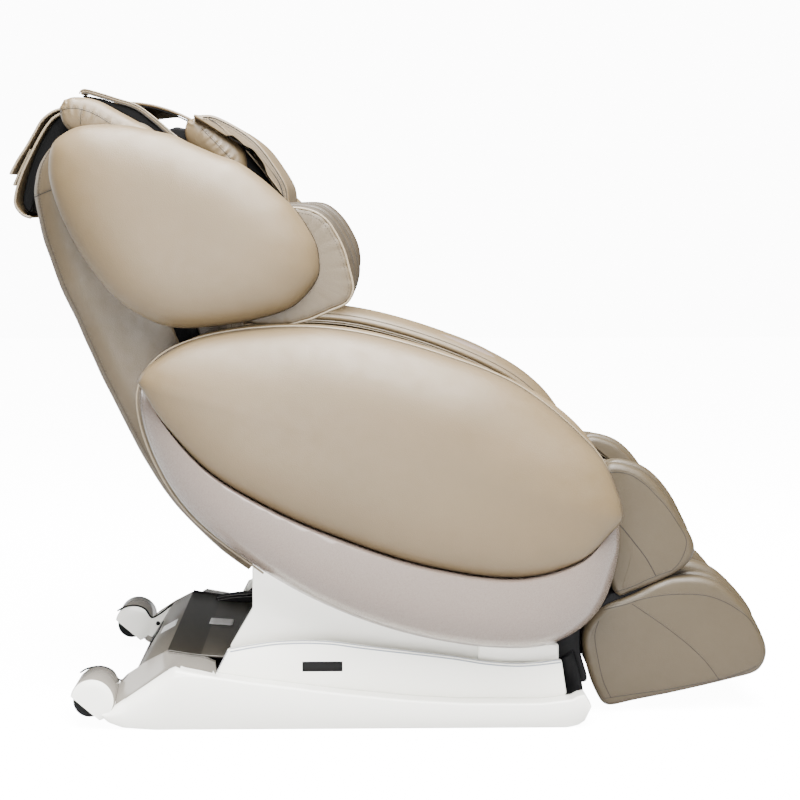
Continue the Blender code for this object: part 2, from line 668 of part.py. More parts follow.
def drive(label, span, z, pin, half_slot, y, radius, stroke_in):
    """One actuator along x at height z; its rod ends in an upright slot round the crank pin.
    stroke_in is how far the rod still slides into the tube from rest."""
    out = 1 if span[1] > span[0] else -1
    tube = rod(label + "_actuator", (span[0], z), (span[1], z), radius, y, 20)
    bore = rod("bore_tool", (span[0] + out * 0.02, z), (span[1] + out * 0.05, z), 0.0088, y, 20)
    finish(combine(tube, cut=[bore]), "seat", "black_plastic")
    name = label + "_rod"
    body(name, pin[0], y, z, "seat")
    inner_end = span[0] + out * (0.024 + stroke_in)
    piece = rod(name, (inner_end, z), (pin[0] - out * 0.012, z), 0.0080, y, 16)
    half = half_slot + 0.005
    head = box("head_tool", pin[0] - 0.0150, pin[0] + 0.0150, y - 0.006, y + 0.006, pin[1] - half,
               pin[1] + half)
    slot = box("slot_tool", pin[0] - 0.0090, pin[0] + 0.0090, y - 0.02, y + 0.02, pin[1] - half_slot,
               pin[1] + half_slot)
    finish(combine(piece, [head], [slot]), name, "bright_steel")


# ---------------------------------------------------------------- backrest
SHELL_THICKNESS = 0.012


def shell_half_width(z):
    """Narrow between the carriage covers, wider between the arms, widest beside the head."""
    steps = [(0.27, 0.232), (0.38, 0.238), (0.46, 0.262), (0.74, 0.268), (0.82, 0.288), (1.20, 0.288)]
    for (z0, w0), (z1, w1) in zip(steps, steps[1:]):
        if z <= z1:
            return w0 + (w1 - w0) * (z - z0) / (z1 - z0)
    return steps[-1][1]


def shell_wall_depth(z):
    """How far the side walls come forward."""
    if z < 0.50:
        return 0.045 + (z - 0.27) / 0.23 * 0.075
    if z > 1.00:
        return 0.140 - (z - 1.00) / 0.09 * 0.070
    return 0.120 + (z - 0.50) / 0.50 * 0.020


def shell_section(half, depth, offset):
    """Half of a U-shaped section, from a side wall's front edge to the middle, as (y, depth)."""
    corner = min(0.050, depth * 0.8)
    points = [(half - offset, depth)]
    for step in range(4):
        t = math.radians(90 * step / 3)
        reach = corner - offset
        points.append((half - corner + reach * math.cos(t), corner - reach * math.sin(t)))
    return points


def back_shell():
    rear = smooth(SHELL_REAR, 1, closed=False)
    rings = []
    for i, (x, z) in enumerate(rear):
        before = rear[max(i - 1, 0)]
        after = rear[min(i + 1, len(rear) - 1)]
        tx, tz = after[0] - before[0], after[1] - before[1]
        if z > 0.90:
            tx, tz = turned((0, 1), LEAN)
        length = math.hypot(tx, tz)
        fx, fz = tz / length, -tx / length
        half, depth = shell_half_width(z), shell_wall_depth(z)
        outer = shell_section(half, depth, 0.0)
        inner = shell_section(half, depth, SHELL_THICKNESS)
        loop = [(y, d) for y, d in outer] + [(-y, d) for y, d in reversed(outer)]
        loop += [(-y, d) for y, d in inner] + [(y, d) for y, d in reversed(inner)]
        rings.append([(x + fx * d, y, z + fz * d) for y, d in loop])
    finish(ring_solid("back_shell", rings), "back", "leather")


def back_frame():
    depth = 0.120
    low = on_back(-0.205, depth)
    top = on_back(0.452, depth)
    piece = bar("back_frame", low, top, 0.030, 0.2155, 0.2275)
    tools = [bar("rail_tool", low, top, 0.030, -0.2155, -0.2275)]
    for s in (-0.160, 0.432):
        tools.append(bar("cross_tool", on_back(s, depth), on_back(s + 0.019, depth), 0.024, -0.220, 0.220))
    for side in SIDES.values():
        tools.append(disc("eye_tool", BACK_HINGE, 0.021, side * 0.2155, side * 0.2275, 24))
    pin = crank_pin(BACK_HINGE, RECLINE_CRANK, RECLINE_RANGE)
    knee = on_back(-0.150, depth)
    for side in SIDES.values():
        tools.append(bar("crank_tool", knee, pin, 0.018, side * 0.0085, side * 0.0150))
        tools.append(disc("crank_eye_tool", pin, 0.010, side * 0.0085, side * 0.0150, 16))
    tools.append(disc("crank_pin_tool", pin, SMALL_PIN_R, -0.0120, 0.0120, 16))
    finish(combine(piece, tools, [disc("bore_tool", BACK_HINGE, BORE_R, -0.3, 0.3, 24)]), "back",
           "painted_steel")


def back_pad():
    outline = [on_back(s, max(d, 0.172) if s < 0.43 else d) for s, d in smooth(BACK_PAD_OUTLINE, 2)]
    piece = cushion_block("back_cushion", outline, -0.2330, 0.2330, 0.014, 0.975)
    finish(piece, "back", "leather_inner")


def head_sides():
    outline = smooth(HEAD_OUTLINE, 2)
    wing = smooth(WING_OUTLINE, 3)
    for label, side in SIDES.items():
        levels = [(HEAD_INNER, 0.94), (0.300, 0.985), (0.335, 1.0), (0.365, 0.97), (0.388, 0.87),
                  (HEAD_OUTER, 0.66)]
        piece = layered("head_side_" + label, outline, [(side * y, f) for y, f in levels])
        finish(piece, "back", "leather")
        pad = cushion_block("shoulder_wing_" + label, wing, side * 0.236, side * 0.324, 0.010, 0.95)
        keep_out = prism("keep_out_tool", scaled(outline, 1.006), side * (HEAD_INNER - GAP), side * 0.40)
        finish(combine(pad, cut=[keep_out]), "back", "leather")


def rear_flap():
    piece = cushion_block("rear_flap", smooth(REAR_FLAP_OUTLINE, 1), -0.165, 0.165, 0.006, 0.995)
    finish(piece, "back", "leather")


def head_pillow():
    body("pillow", PILLOW_HINGE[0], 0.0, PILLOW_HINGE[1], "back")
    piece = cushion_block("head_pillow", smooth(PILLOW_OUTLINE, 2), -0.195, 0.195, 0.016, 0.93)
    flap = [(-0.602, 1.187), (-0.545, 1.186), (-0.490, 1.178), (-0.440, 1.158), (-0.395, 1.128),
            (-0.400, 1.112),
            (-0.444, 1.144), (-0.494, 1.165), (-0.550, 1.1785), (-0.602, 1.1795)]
    strap = prism("strap_tool", flap, -0.185, 0.185)
    finish(combine(piece, [strap]), "pillow", "leather")


# ---------------------------------------------------------------- massage mechanism
def on_mechanism(name, outline, y0, y1):
    """A prism whose outline is given along the backrest line, from the kneading shaft up."""
    return prism(name, [on_back(ROLLER_S + s, d) for s, d in outline], y0, y1)


def strip(s0, s1, d0, d1):
    return [(s0, d0), (s1, d0), (s1, d1), (s0, d1)]


def roller_carriage():
    shaft = on_back(ROLLER_S, SHAFT_DEPTH)
    body("roller_carriage", shaft[0], 0.0, shaft[1], "back")
    piece = on_mechanism("roller_carriage", strip(-0.068, 0.068, 0.040, 0.092), -0.185, 0.185)
    tools = [on_mechanism("lug_tool", strip(-0.012, 0.012, 0.088, 0.120), -0.020, 0.020)]
    tools.append(disc("shaft_tool", shaft, 0.0070, -0.110, 0.110, 20))
    for side in SIDES.values():
        tools.append(on_mechanism("shoe_tool", strip(-0.030, 0.030, 0.060, 0.128), side * 0.175,
                                  side * 0.2140))
    finish(combine(piece, tools), "roller_carriage", "painted_steel")


def kneading_arms():
    shaft = on_back(ROLLER_S, SHAFT_DEPTH)
    plate = [(-0.066, 0.128), (-0.072, 0.138), (-0.064, 0.147), (0.0, 0.126), (0.064, 0.147),
             (0.072, 0.138),
             (0.066, 0.128), (0.012, 0.0985), (-0.012, 0.0985)]
    for label, side in SIDES.items():
        arm = "kneading_arm_" + label
        body(arm, shaft[0], side * 0.065, shaft[1], "roller_carriage")
        piece = on_mechanism(arm, plate, side * 0.058, side * 0.072)
        axles = []
        for level, s in (("upper", ROLLER_REACH), ("lower", -ROLLER_REACH)):
            centre = on_back(ROLLER_S + s, ROLLER_DEPTH)
            axles.append(disc("axle_tool", centre, 0.0045, side * 0.065, side * 0.108, 12))
            name = "massage_roller_" + level + "_" + label
            body(name, centre[0], side * 0.090, centre[1], arm)
            roller = wheel(name, centre, ROLLER_R, 0.0050, side * 0.0735, side * 0.1065, 0.004, 24)
            finish(roller, name, "black_rubber")
        hub = disc("hub_tool", shaft, 0.0130, side * 0.056, side * 0.074, 20)
        bore = disc("bore_tool", shaft, 0.0075, side * 0.02, side * 0.12, 20)
        finish(combine(piece, axles + [hub], [bore]), arm, "bright_steel")


# ---------------------------------------------------------------- legrest
def leg_bar(name, s0, s1, d0, d1, y0, y1):
    """A box lined up with the legrest."""
    return prism(name, [on_leg(s0, d0), on_leg(s1, d0), on_leg(s1, d1), on_leg(s0, d1)], y0, y1)


def calf():
    body("calf", CALF_HINGE[0], 0.0, CALF_HINGE[1], "seat")
    piece = leg_bar("calf_frame", 0.0, 0.200, 0.002, 0.014, -0.200, 0.200)
    tools = [disc("tube_tool", CALF_HINGE, 0.0120, -0.2035, 0.2035, 20)]
    tools.append(disc("stub_tool", CALF_HINGE, PIN_R, -0.2225, 0.2225, 20))
    pin = crank_pin(CALF_HINGE, LEG_CRANK, LEG_RANGE)
    for side in SIDES.values():
        y0 = LEG_DRIVE_Y + side * 0.0085
        y1 = LEG_DRIVE_Y + side * 0.0150
        tools.append(bar("crank_tool", CALF_HINGE, pin, 0.018, y0, y1))
        tools.append(disc("crank_eye_tool", pin, 0.010, y0, y1, 16))
    tools.append(disc("crank_pin_tool", pin, SMALL_PIN_R, LEG_DRIVE_Y - 0.012, LEG_DRIVE_Y + 0.012, 16))
    finish(combine(piece, tools), "calf", "painted_steel")
    outline = smooth(CALF_OUTLINE, 2)
    for label, side in SIDES.items():
        wall = cushion_block("calf_side_" + label, outline, side * LEG_IN, side * LEG_OUT, 0.010, 0.95)
        finish(wall, "calf", "leather")
    mid = smooth([(0.026, 0.016), (0.024, 0.075), (0.066, 0.123), (0.125, 0.142), (0.190, 0.141),
                  (0.203, 0.100),
                  (0.201, 0.016), (0.115, 0.016)], 2)
    mid = [on_leg(s, max(d, 0.0165)) for s, d in mid]
    divider = cushion_block("calf_divider", mid, -LEG_MID, LEG_MID, 0.010, 0.95)
    finish(divider, "calf", "leather")


SOLE_LINE = [(0.398, 0.022), (0.684, 0.080)]
FOOT_ROLLER = (0.500, 0.079)


def foot():
    at = on_leg(0.230, 0.100)
    body("foot", at[0], 0.0, at[1], "calf")
    outline = smooth(FOOT_OUTLINE, 1)
    for label, side in SIDES.items():
        wall = cushion_block("foot_side_" + label, outline, side * LEG_IN, side * (LEG_OUT + 0.002),
                             0.010, 0.96)
        finish(wall, "foot", "leather")
    (x0, z0), (x1, z1) = SOLE_LINE
    sole = [(x0, z0), (x1, z1), (x1 + 0.010, z1 + 0.018), (x1 - 0.006, z1 + 0.034), (0.436, 0.066),
            (0.412, 0.150),
            (0.404, 0.188), (0.378, 0.176), (0.374, 0.100), (0.388, 0.040)]
    base = prism("foot_base", sole, -0.2035, 0.2035)
    trough = disc("trough_tool", FOOT_ROLLER, 0.0225, -0.192, 0.192, 28)
    guides = []
    for side in SIDES.values():
        guides.append(leg_bar("guide_tool", 0.110, 0.268, -0.058, -0.044, side * 0.130, side * 0.155))
    finish(combine(base, guides, [trough]), "foot", "leather_inner")
    mid = smooth([(0.426, 0.150), (0.430, 0.206), (0.500, 0.240), (0.580, 0.252), (0.650, 0.232),
                  (0.706, 0.180),
                  (0.737, 0.130), (0.706, 0.124), (0.570, 0.099), (0.458, 0.080)], 2)
    divider = cushion_block("foot_divider", mid, -LEG_MID, LEG_MID, 0.010, 0.955)
    notch = disc("notch_tool", FOOT_ROLLER, 0.0230, -0.1, 0.1, 28)
    finish(combine(divider, cut=[notch]), "foot", "leather")
    body("foot_roller", FOOT_ROLLER[0], 0.0, FOOT_ROLLER[1], "foot")
    levels = []
    for step in range(13):
        y = -0.189 + 0.378 * step / 12
        levels.append((y, 1.0 if step % 2 else 0.78))
    roller = layered("foot_roller", circle(FOOT_ROLLER, 0.0215, 20), levels)
    finish(roller, "foot_roller", "black_rubber")


# ---------------------------------------------------------------- build
def build():
    clear_scene()
    body("base")
    base_frame()
    base_boxes()
    skirts()
    side_covers()
    rear_cover()
    power_inlet()
    power_switch()
    front_cover()
    transport_wheels()
    carriage()
    lift_actuator()
    seat_frame()
    shafts()
    seat_cushion()
    arms()
    drives()
    body("back", BACK_HINGE[0], 0.0, BACK_HINGE[1], "seat")
    back_shell()
    back_frame()
    back_pad()
    head_sides()
    rear_flap()
    head_pillow()
    roller_carriage()
    kneading_arms()
    calf()
    foot()


build()
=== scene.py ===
"""Looks of the massage chair: leather, seams, piping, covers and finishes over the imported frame."""

import json
import math

import bmesh
import bpy
import numpy as np
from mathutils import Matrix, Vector
from mathutils.bvhtree import BVHTree
from mathutils.kdtree import KDTree

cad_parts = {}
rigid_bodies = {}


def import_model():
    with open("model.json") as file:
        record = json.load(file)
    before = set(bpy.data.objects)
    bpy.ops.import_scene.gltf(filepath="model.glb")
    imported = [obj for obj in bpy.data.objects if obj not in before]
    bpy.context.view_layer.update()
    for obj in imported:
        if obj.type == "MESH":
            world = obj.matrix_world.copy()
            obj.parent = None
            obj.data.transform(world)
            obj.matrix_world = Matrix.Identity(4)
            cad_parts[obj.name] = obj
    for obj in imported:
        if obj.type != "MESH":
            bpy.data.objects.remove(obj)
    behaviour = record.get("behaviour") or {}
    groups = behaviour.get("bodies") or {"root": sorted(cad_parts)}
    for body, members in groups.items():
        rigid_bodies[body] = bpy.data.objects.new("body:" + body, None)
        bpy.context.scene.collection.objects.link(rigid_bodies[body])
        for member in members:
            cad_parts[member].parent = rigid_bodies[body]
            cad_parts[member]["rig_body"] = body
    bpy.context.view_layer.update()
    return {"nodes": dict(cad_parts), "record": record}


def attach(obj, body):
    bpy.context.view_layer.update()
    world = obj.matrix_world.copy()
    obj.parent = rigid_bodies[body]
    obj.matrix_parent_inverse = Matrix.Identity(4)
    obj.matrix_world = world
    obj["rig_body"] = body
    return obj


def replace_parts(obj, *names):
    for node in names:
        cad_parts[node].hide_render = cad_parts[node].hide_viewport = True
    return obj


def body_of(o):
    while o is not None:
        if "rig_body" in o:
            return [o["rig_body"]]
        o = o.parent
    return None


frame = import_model()
SIDES = {"left": 1, "right": -1}
DOWN_THE_LEG = np.array([math.sin(math.radians(22.0)), -math.cos(math.radians(22.0))])
UP_THE_BACK = np.array([-math.sin(math.radians(20.1)), math.cos(math.radians(20.1))])
BACK_START = np.array([-0.545, 0.615])


def on_back(s, d):
    """The point s along the backrest line and d in front of it."""
    return BACK_START + s * UP_THE_BACK + d * np.array([UP_THE_BACK[1], -UP_THE_BACK[0]])


def on_leg(s, d):
    """The point s down the legrest line and d in front of it."""
    return np.array([0.345, 0.430]) + s * DOWN_THE_LEG + d * np.array([-DOWN_THE_LEG[1], DOWN_THE_LEG[0]])


# ---------------------------------------------------------------- curves and meshes
def spline(points, count, closed=True):
    """Evenly spaced points on a smooth curve through the given ones, in two or three dimensions."""
    pts = np.array(points, float)
    n = len(pts)
    fine = []
    for i in range(n if closed else n - 1):
        picks = [(i + k) % n if closed else min(max(i + k, 0), n - 1) for k in (-1, 0, 1, 2)]
        a, b, c, d = (pts[k] for k in picks)
        for t in np.linspace(0, 1, 24, endpoint=False):
            fine.append(0.5 * (2 * b + (c - a) * t + (2 * a - 5 * b + 4 * c - d) * t**2
                               + (3 * b - a - 3 * c + d) * t**3))
    fine = np.array(fine + ([fine[0]] if closed else [pts[-1]]))
    run = np.r_[0, np.cumsum(np.linalg.norm(np.diff(fine, axis=0), axis=1))]
    at = np.linspace(0, run[-1], count, endpoint=not closed)
    return np.column_stack([np.interp(at, run, fine[:, k]) for k in range(fine.shape[1])])


def curve(points, count):
    """Evenly spaced points on a smooth open curve through the given ones."""
    return spline(points, count, closed=False)


def unit_rows(vectors):
    return vectors / np.linalg.norm(vectors, axis=1)[:, None]


def left_of(path):
    """The unit normals to the left of an open (x, z) path."""
    tangent = unit_rows(np.gradient(np.array(path, float), axis=0))
    return np.column_stack([-tangent[:, 1], tangent[:, 0]])


def inset(outline, distance):
    """The outline moved inwards by a distance, along its own normals."""
    pts = np.array(outline, float)
    tangent = unit_rows(np.roll(pts, -1, 0) - np.roll(pts, 1, 0))
    x, z = pts[:, 0], pts[:, 1]
    area = np.sum(x * np.roll(z, -1) - np.roll(x, -1) * z)
    normal = np.column_stack([-tangent[:, 1], tangent[:, 0]]) * (1 if area > 0 else -1)
    return pts + normal * distance


def new_mesh(name, vertices, faces, smooth=True):
    mesh = bpy.data.meshes.new(name)
    mesh.from_pydata([tuple(v) for v in vertices], [], faces)
    bm = bmesh.new()
    bm.from_mesh(mesh)
    bmesh.ops.remove_doubles(bm, verts=bm.verts, dist=1e-6)
    bmesh.ops.recalc_face_normals(bm, faces=bm.faces)
    bm.to_mesh(mesh)
    bm.free()
    obj = bpy.data.objects.new(name, mesh)
    bpy.context.scene.collection.objects.link(obj)
    if smooth:
        mesh.shade_smooth()
    return obj


def skin(name, rings, loop=True, caps=True):
    """A mesh over rows of points. loop joins each row's ends, and caps closes the first and last row."""
    rings = [np.array(r, float) for r in rings]
    n = len(rings[0])
    vertices = [p for ring in rings for p in ring]
    faces = []
    for i in range(len(rings) - 1):
        for j in range(n if loop else n - 1):
            k = (j + 1) % n
            faces.append((i * n + j, i * n + k, (i + 1) * n + k, (i + 1) * n + j))
    if caps:
        for ring, start in ((rings[0], 0), (rings[-1], (len(rings) - 1) * n)):
            vertices.append(ring.mean(0))
            for j in range(n):
                faces.append((start + j, start + (j + 1) % n, len(vertices) - 1))
    return new_mesh(name, vertices, faces)


def side_ring(outline, y):
    return [(x, y, z) for x, z in outline]


def shrunk(outline, factor, centre=None):
    pts = np.array(outline, float)
    middle = pts.mean(0) if centre is None else np.array(centre)
    return middle + (pts - middle) * factor


def pod(name, outline, side, rim, top, body, squareness=(3.0, 2.2), rings=22, count=120, centre=None,
        belly=None, tuck=0.0):
    """A domed body: flat inside at rim, full outline at belly, crowned outside up to top. All three are |y|.

    belly may be a function that gives one value for each point of the outline.
    """
    edge = spline(outline, count)
    belly = rim if belly is None else belly
    full = belly(edge) if callable(belly) else np.full(len(edge), belly)
    rows = [side_ring(shrunk(inset(edge, tuck), f, centre), side * rim) for f in (0.30, 0.94)]
    for k in range(6 if tuck else 0):
        t = math.radians(15 * k)
        level = full - (full - rim) * math.cos(t)
        rows.append([(x, side * y, z) for (x, z), y in zip(inset(edge, tuck * (1 - math.sin(t))), level)])
    for i in range(rings + 1):
        r = 1.0 - 0.97 * (i / rings) ** 1.35
        level = full + (top - full) * (1 - r ** squareness[0]) ** (1 / squareness[1])
        rows.append([(x, side * y, z) for (x, z), y in zip(shrunk(edge, r, centre), level)])
    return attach(skin(name, rows), body)


def slab(name, outline, y0, y1, body, edge=0.014, crown=0.004, count=110, steps=6, across=1, puff=0.0):
    """A boxed cushion between y0 and y1: rounded edges and slightly crowned sides."""
    y0, y1 = min(y0, y1), max(y0, y1)
    rim = spline(outline, count)
    mid, half = (y0 + y1) / 2, (y1 - y0) / 2
    caps = [shrunk(inset(rim, edge), f) for f in (0.2, 0.45, 0.68, 0.86)]
    low = []
    for i, cap in enumerate(caps):
        low.append((cap, half - crown * (0.0, 0.0, 0.25, 0.65)[i]))
    for k in range(steps + 1):
        t = math.radians(90 * k / steps)
        low.append((inset(rim, edge * (1 - math.sin(t))), half - crown - edge * (1 - math.cos(t))))
    rows = [side_ring(o, mid - y) for o, y in low]
    flat = low[-1][1]
    rows += [side_ring(rim, mid - flat + 2 * flat * k / across) for k in range(1, across)]
    rows += [side_ring(o, mid + y) for o, y in reversed(low)]
    made = skin(name, rows)
    if puff:
        puffed(made, puff)
    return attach(made, body)


def applied(obj):
    """Turns the object's modifiers into mesh."""
    graph = bpy.context.evaluated_depsgraph_get()
    mesh = bpy.data.meshes.new_from_object(obj.evaluated_get(graph), depsgraph=graph)
    obj.modifiers.clear()
    obj.data = mesh
    return obj


def points_of(obj):
    found = np.empty(len(obj.data.vertices) * 3)
    obj.data.vertices.foreach_get("co", found)
    return found.reshape(-1, 3)


def move_points(obj, points):
    obj.data.vertices.foreach_set("co", np.array(points, float).ravel())
    obj.data.update()
    return obj


def puffed(obj, cap, voxel=0.006, pressure=4.0):
    """Blows the closed cover up as cloth over foam, with no point moving further than cap."""
    remesh = obj.modifiers.new("even", "REMESH")
    remesh.mode = "VOXEL"
    remesh.voxel_size = voxel
    applied(obj)
    start = points_of(obj)
    cloth = obj.modifiers.new("cloth", "CLOTH")
    cloth.settings.use_pressure = True
    cloth.settings.uniform_pressure_force = pressure
    cloth.settings.effector_weights.gravity = 0
    for step in range(1, 21):
        bpy.context.scene.frame_set(step)
    applied(obj)
    bpy.context.scene.frame_set(1)
    moved = points_of(obj) - start
    reach = np.linalg.norm(moved, axis=1)[:, None]
    move_points(obj, start + moved * np.minimum(1, cap / np.maximum(reach, 1e-9)))
    smooth = obj.modifiers.new("smooth", "SMOOTH")
    smooth.iterations = 6
    round_off = obj.modifiers.new("finer", "SUBSURF")
    round_off.levels = 1
    applied(obj)
    obj.data.shade_smooth()
    return obj


def carve(target, *tools):
    for tool in tools:
        modifier = target.modifiers.new("cut", "BOOLEAN")
        modifier.operation = "DIFFERENCE"
        modifier.solver = "EXACT"
        modifier.object = tool
    applied(target)
    for tool in tools:
        bpy.data.objects.remove(tool)
    return target


def soften(obj, width, segments=2, angle=30):
    """Rounds the sharp edges and keeps the rest smooth."""
    modifier = obj.modifiers.new("edges", "BEVEL")
    modifier.width = width
    modifier.segments = segments
    modifier.angle_limit = math.radians(angle)
    applied(obj)
    obj.data.shade_smooth()
    obj.data.set_sharp_from_angle(angle=math.radians(40))
    return obj


def tube(name, path, radius, body, sides=8, closed=False):
    """A round welt, thread or wire along a path in space."""
    path = np.array(path, float)
    tangent = unit_rows(np.roll(path, -1, 0) - np.roll(path, 1, 0) if closed else np.gradient(path, axis=0))
    turns = [2 * math.pi * k / sides for k in range(sides)]
    rows = []
    for p, t in zip(path, tangent):
        a = np.cross(t, [0.0, 1.0, 0.0])
        if np.linalg.norm(a) < 0.2:
            a = np.cross(t, [1.0, 0.0, 0.0])
        a /= np.linalg.norm(a)
        b = np.cross(t, a)
        rows.append([p + radius * (math.cos(turn) * a + math.sin(turn) * b) for turn in turns])
    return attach(skin(name, rows + rows[:1], caps=False) if closed else skin(name, rows), body)


def stitch_row(name, path, body, pitch=0.0055, length=0.0034, radius=0.00045):
    """A row of short thread stitches along a path."""
    path = np.array(path, float)
    run = np.r_[0, np.cumsum(np.linalg.norm(np.diff(path, axis=0), axis=1))]

    def point(at):
        return np.array([np.interp(at, run, path[:, k]) for k in range(3)])

    vertices, faces = [], []
    for i in range(int(run[-1] / pitch)):
        a, b = point(i * pitch), point(i * pitch + length)
        along = (b - a) / max(np.linalg.norm(b - a), 1e-9)
        u = np.cross(along, [0.0, 1.0, 0.3])
        u /= np.linalg.norm(u)
        v = np.cross(along, u)
        start = len(vertices)
        for centre, r in ((a, 0.4), (a + (b - a) * 0.2, 1.0), (b - (b - a) * 0.2, 1.0), (b, 0.4)):
            for k in range(6):
                turn = math.radians(60 * k)
                vertices.append(centre + radius * r * (math.cos(turn) * u + math.sin(turn) * v))
        for row in range(3):
            for k in range(6):
                j = (k + 1) % 6
                base = start + row * 6
                faces.append((base + k, base + j, base + 6 + j, base + 6 + k))
        faces.append(tuple(start + k for k in range(6)))
        faces.append(tuple(start + 18 + k for k in range(6)))
    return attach(new_mesh(name, vertices, faces), body)


def surface_of(obj):
    graph = bpy.context.evaluated_depsgraph_get()
    return BVHTree.FromObject(obj, graph)


def laid_on(tree, path, side, lift=0.0):
    """Drops (x, z) points sideways onto a surface from outside, on the side given."""
    found = []
    for x, z in path:
        hit, normal, _, _ = tree.ray_cast(Vector((x, side * 0.9, z)), Vector((0, -side, 0)))
        if hit is not None:
            found.append(np.array(hit + normal * lift))
    return np.array(found)


def offset_path(path, distance):
    """An open (x, z) path moved to its left by a distance."""
    return np.array(path, float) + left_of(path) * distance


def seam(name, obj, path, side, body, stitches=(0.0035,), line=0.0008, count=90, closed=False):
    """A sewn seam on the outer face of obj: a dark line with rows of stitches beside it."""
    tree = surface_of(obj)
    route = spline(path, count, closed)
    if closed:
        route = np.vstack([route, route[:1]])
    made = [paint(tube(name, laid_on(tree, route, side, -line * 0.35), line, body), SEAM)]
    for i, away in enumerate(stitches):
        row = laid_on(tree, offset_path(route, away), side, 0.0002)
        made.append(paint(stitch_row(f"{name}_stitches_{i}", row, body), THREAD))
    return made


def track(path, lift, y, count=90, closed=False):
    """Points in space above an (x, z) path, to its left by lift, at one y."""
    line = offset_path(spline(path, count, closed), lift)
    return side_ring(line, y)


def strip(name, path, y0, y1, thick, body, lift=None, across=12, count=56):
    """A sheet of leather along an (x, z) path from y0 to y1, with rounded edges.

    lift(u, v) moves it off the path, by how far along and across the sheet a point is.
    """
    line = curve(path, count)
    half = thick / 2
    low, high = min(y0, y1), max(y0, y1)
    ys = [low, low + 0.3 * half, low + half, *np.linspace(low + 2 * half, high - 2 * half, across),
          high - half, high - 0.3 * half, high]
    fat = [0.0, 0.72, 1.0] + [1.0] * across + [1.0, 0.72, 0.0]
    rows = []
    for i, (p, n) in enumerate(zip(line, left_of(line))):
        ends = 0.4 if i in (0, count - 1) else 1.0
        upper, lower = [], []
        for y, f in zip(ys, fat):
            rise = lift(i / (count - 1), (y - low) / (high - low)) if lift else 0.0
            up, down = p + n * (rise + f * half * ends), p + n * (rise - f * half * ends)
            upper.append((up[0], y, up[1]))
            lower.append((down[0], y, down[1]))
        rows.append(upper + lower[-2:0:-1])
    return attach(skin(name, rows), body)


def gathers(obj, path, pitch, height, reach, seed=0.0):
    """Small puckers in the leather beside a seam: ridges across the path that fade with distance from it."""
    points = points_of(obj)
    path = np.array(path, float)
    run = np.r_[0, np.cumsum(np.linalg.norm(np.diff(path, axis=0), axis=1))]
    tree = KDTree(len(path))
    for i, p in enumerate(path):
        tree.insert(p, i)
    tree.balance()
    for i, p in enumerate(points):
        _, k, away = tree.find(p)
        if away > 3 * reach:
            continue
        turn = 2 * math.pi * run[k] / pitch + seed + 1.3 * math.sin(run[k] * 37 + seed)
        wave = math.sin(turn) + 0.5 * math.sin(1.7 * turn + 1 + seed)
        fade = math.exp(-(away / reach) ** 2) * (1 - math.exp(-(away / 0.002) ** 2))
        points[i] = p + np.array(obj.data.vertices[i].normal) * height * wave * fade
    return move_points(obj, points)


def from_node(name, finish, bevel=0.002, segments=3, piece=None):
    """The visible copy of a CAD node with its edges rounded, in its place."""
    node = frame["nodes"][name]
    made = bpy.data.objects.new(piece or name + "_piece", node.data.copy())
    bpy.context.scene.collection.objects.link(made)
    bm = bmesh.new()
    bm.from_mesh(made.data)
    bmesh.ops.remove_doubles(bm, verts=bm.verts, dist=1e-5)
    bmesh.ops.dissolve_limit(bm, angle_limit=math.radians(0.5), verts=bm.verts, edges=bm.edges)
    bm.to_mesh(made.data)
    bm.free()
    soften(made, bevel, segments)
    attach(made, body_of(node)[0])
    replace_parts(paint(made, finish), name)
    return made


# ---------------------------------------------------------------- materials
def new_material(name, color, roughness, metallic=0.0, coat=0.0, specular=0.5):
    made = bpy.data.materials.new(name)
    made.use_nodes = True
    shader = made.node_tree.nodes["Principled BSDF"]
    shader.inputs["Base Color"].default_value = (*color, 1)
    shader.inputs["Roughness"].default_value = roughness
    shader.inputs["Metallic"].default_value = metallic
    shader.inputs["Coat Weight"].default_value = coat
    shader.inputs["Coat Roughness"].default_value = 0.12
    shader.inputs["Specular IOR Level"].default_value = specular
    return made, made.node_tree, shader


def texture(tree, kind, scale, **values):
    place = tree.nodes.new("ShaderNodeTexCoord")
    made = tree.nodes.new(kind)
    made.inputs["Scale"].default_value = scale
    for key, value in values.items():
        made.inputs[key].default_value = value
    tree.links.new(place.outputs["Object"], made.inputs["Vector"])
    return made


def ramp(tree, source, stops):
    """Maps a 0 to 1 value onto colours or greys; stops are (place, value)."""
    made = tree.nodes.new("ShaderNodeValToRGB")
    elements = made.color_ramp.elements
    while len(elements) < len(stops):
        elements.new(0.5)
    for element, (place, value) in zip(elements, stops):
        element.position = place
        element.color = (*value, 1) if isinstance(value, tuple) else (value, value, value, 1)
    tree.links.new(source, made.inputs["Fac"])
    return made.outputs["Color"]


def bumped(tree, shader, layers):
    """Stacks bumps on the shader; layers are (height output, distance in metres, strength)."""
    last = None
    for height, distance, strength in layers:
        made = tree.nodes.new("ShaderNodeBump")
        made.inputs["Distance"].default_value = distance
        made.inputs["Strength"].default_value = strength
        tree.links.new(height, made.inputs["Height"])
        if last is not None:
            tree.links.new(last.outputs["Normal"], made.inputs["Normal"])
        last = made
    tree.links.new(last.outputs["Normal"], shader.inputs["Normal"])


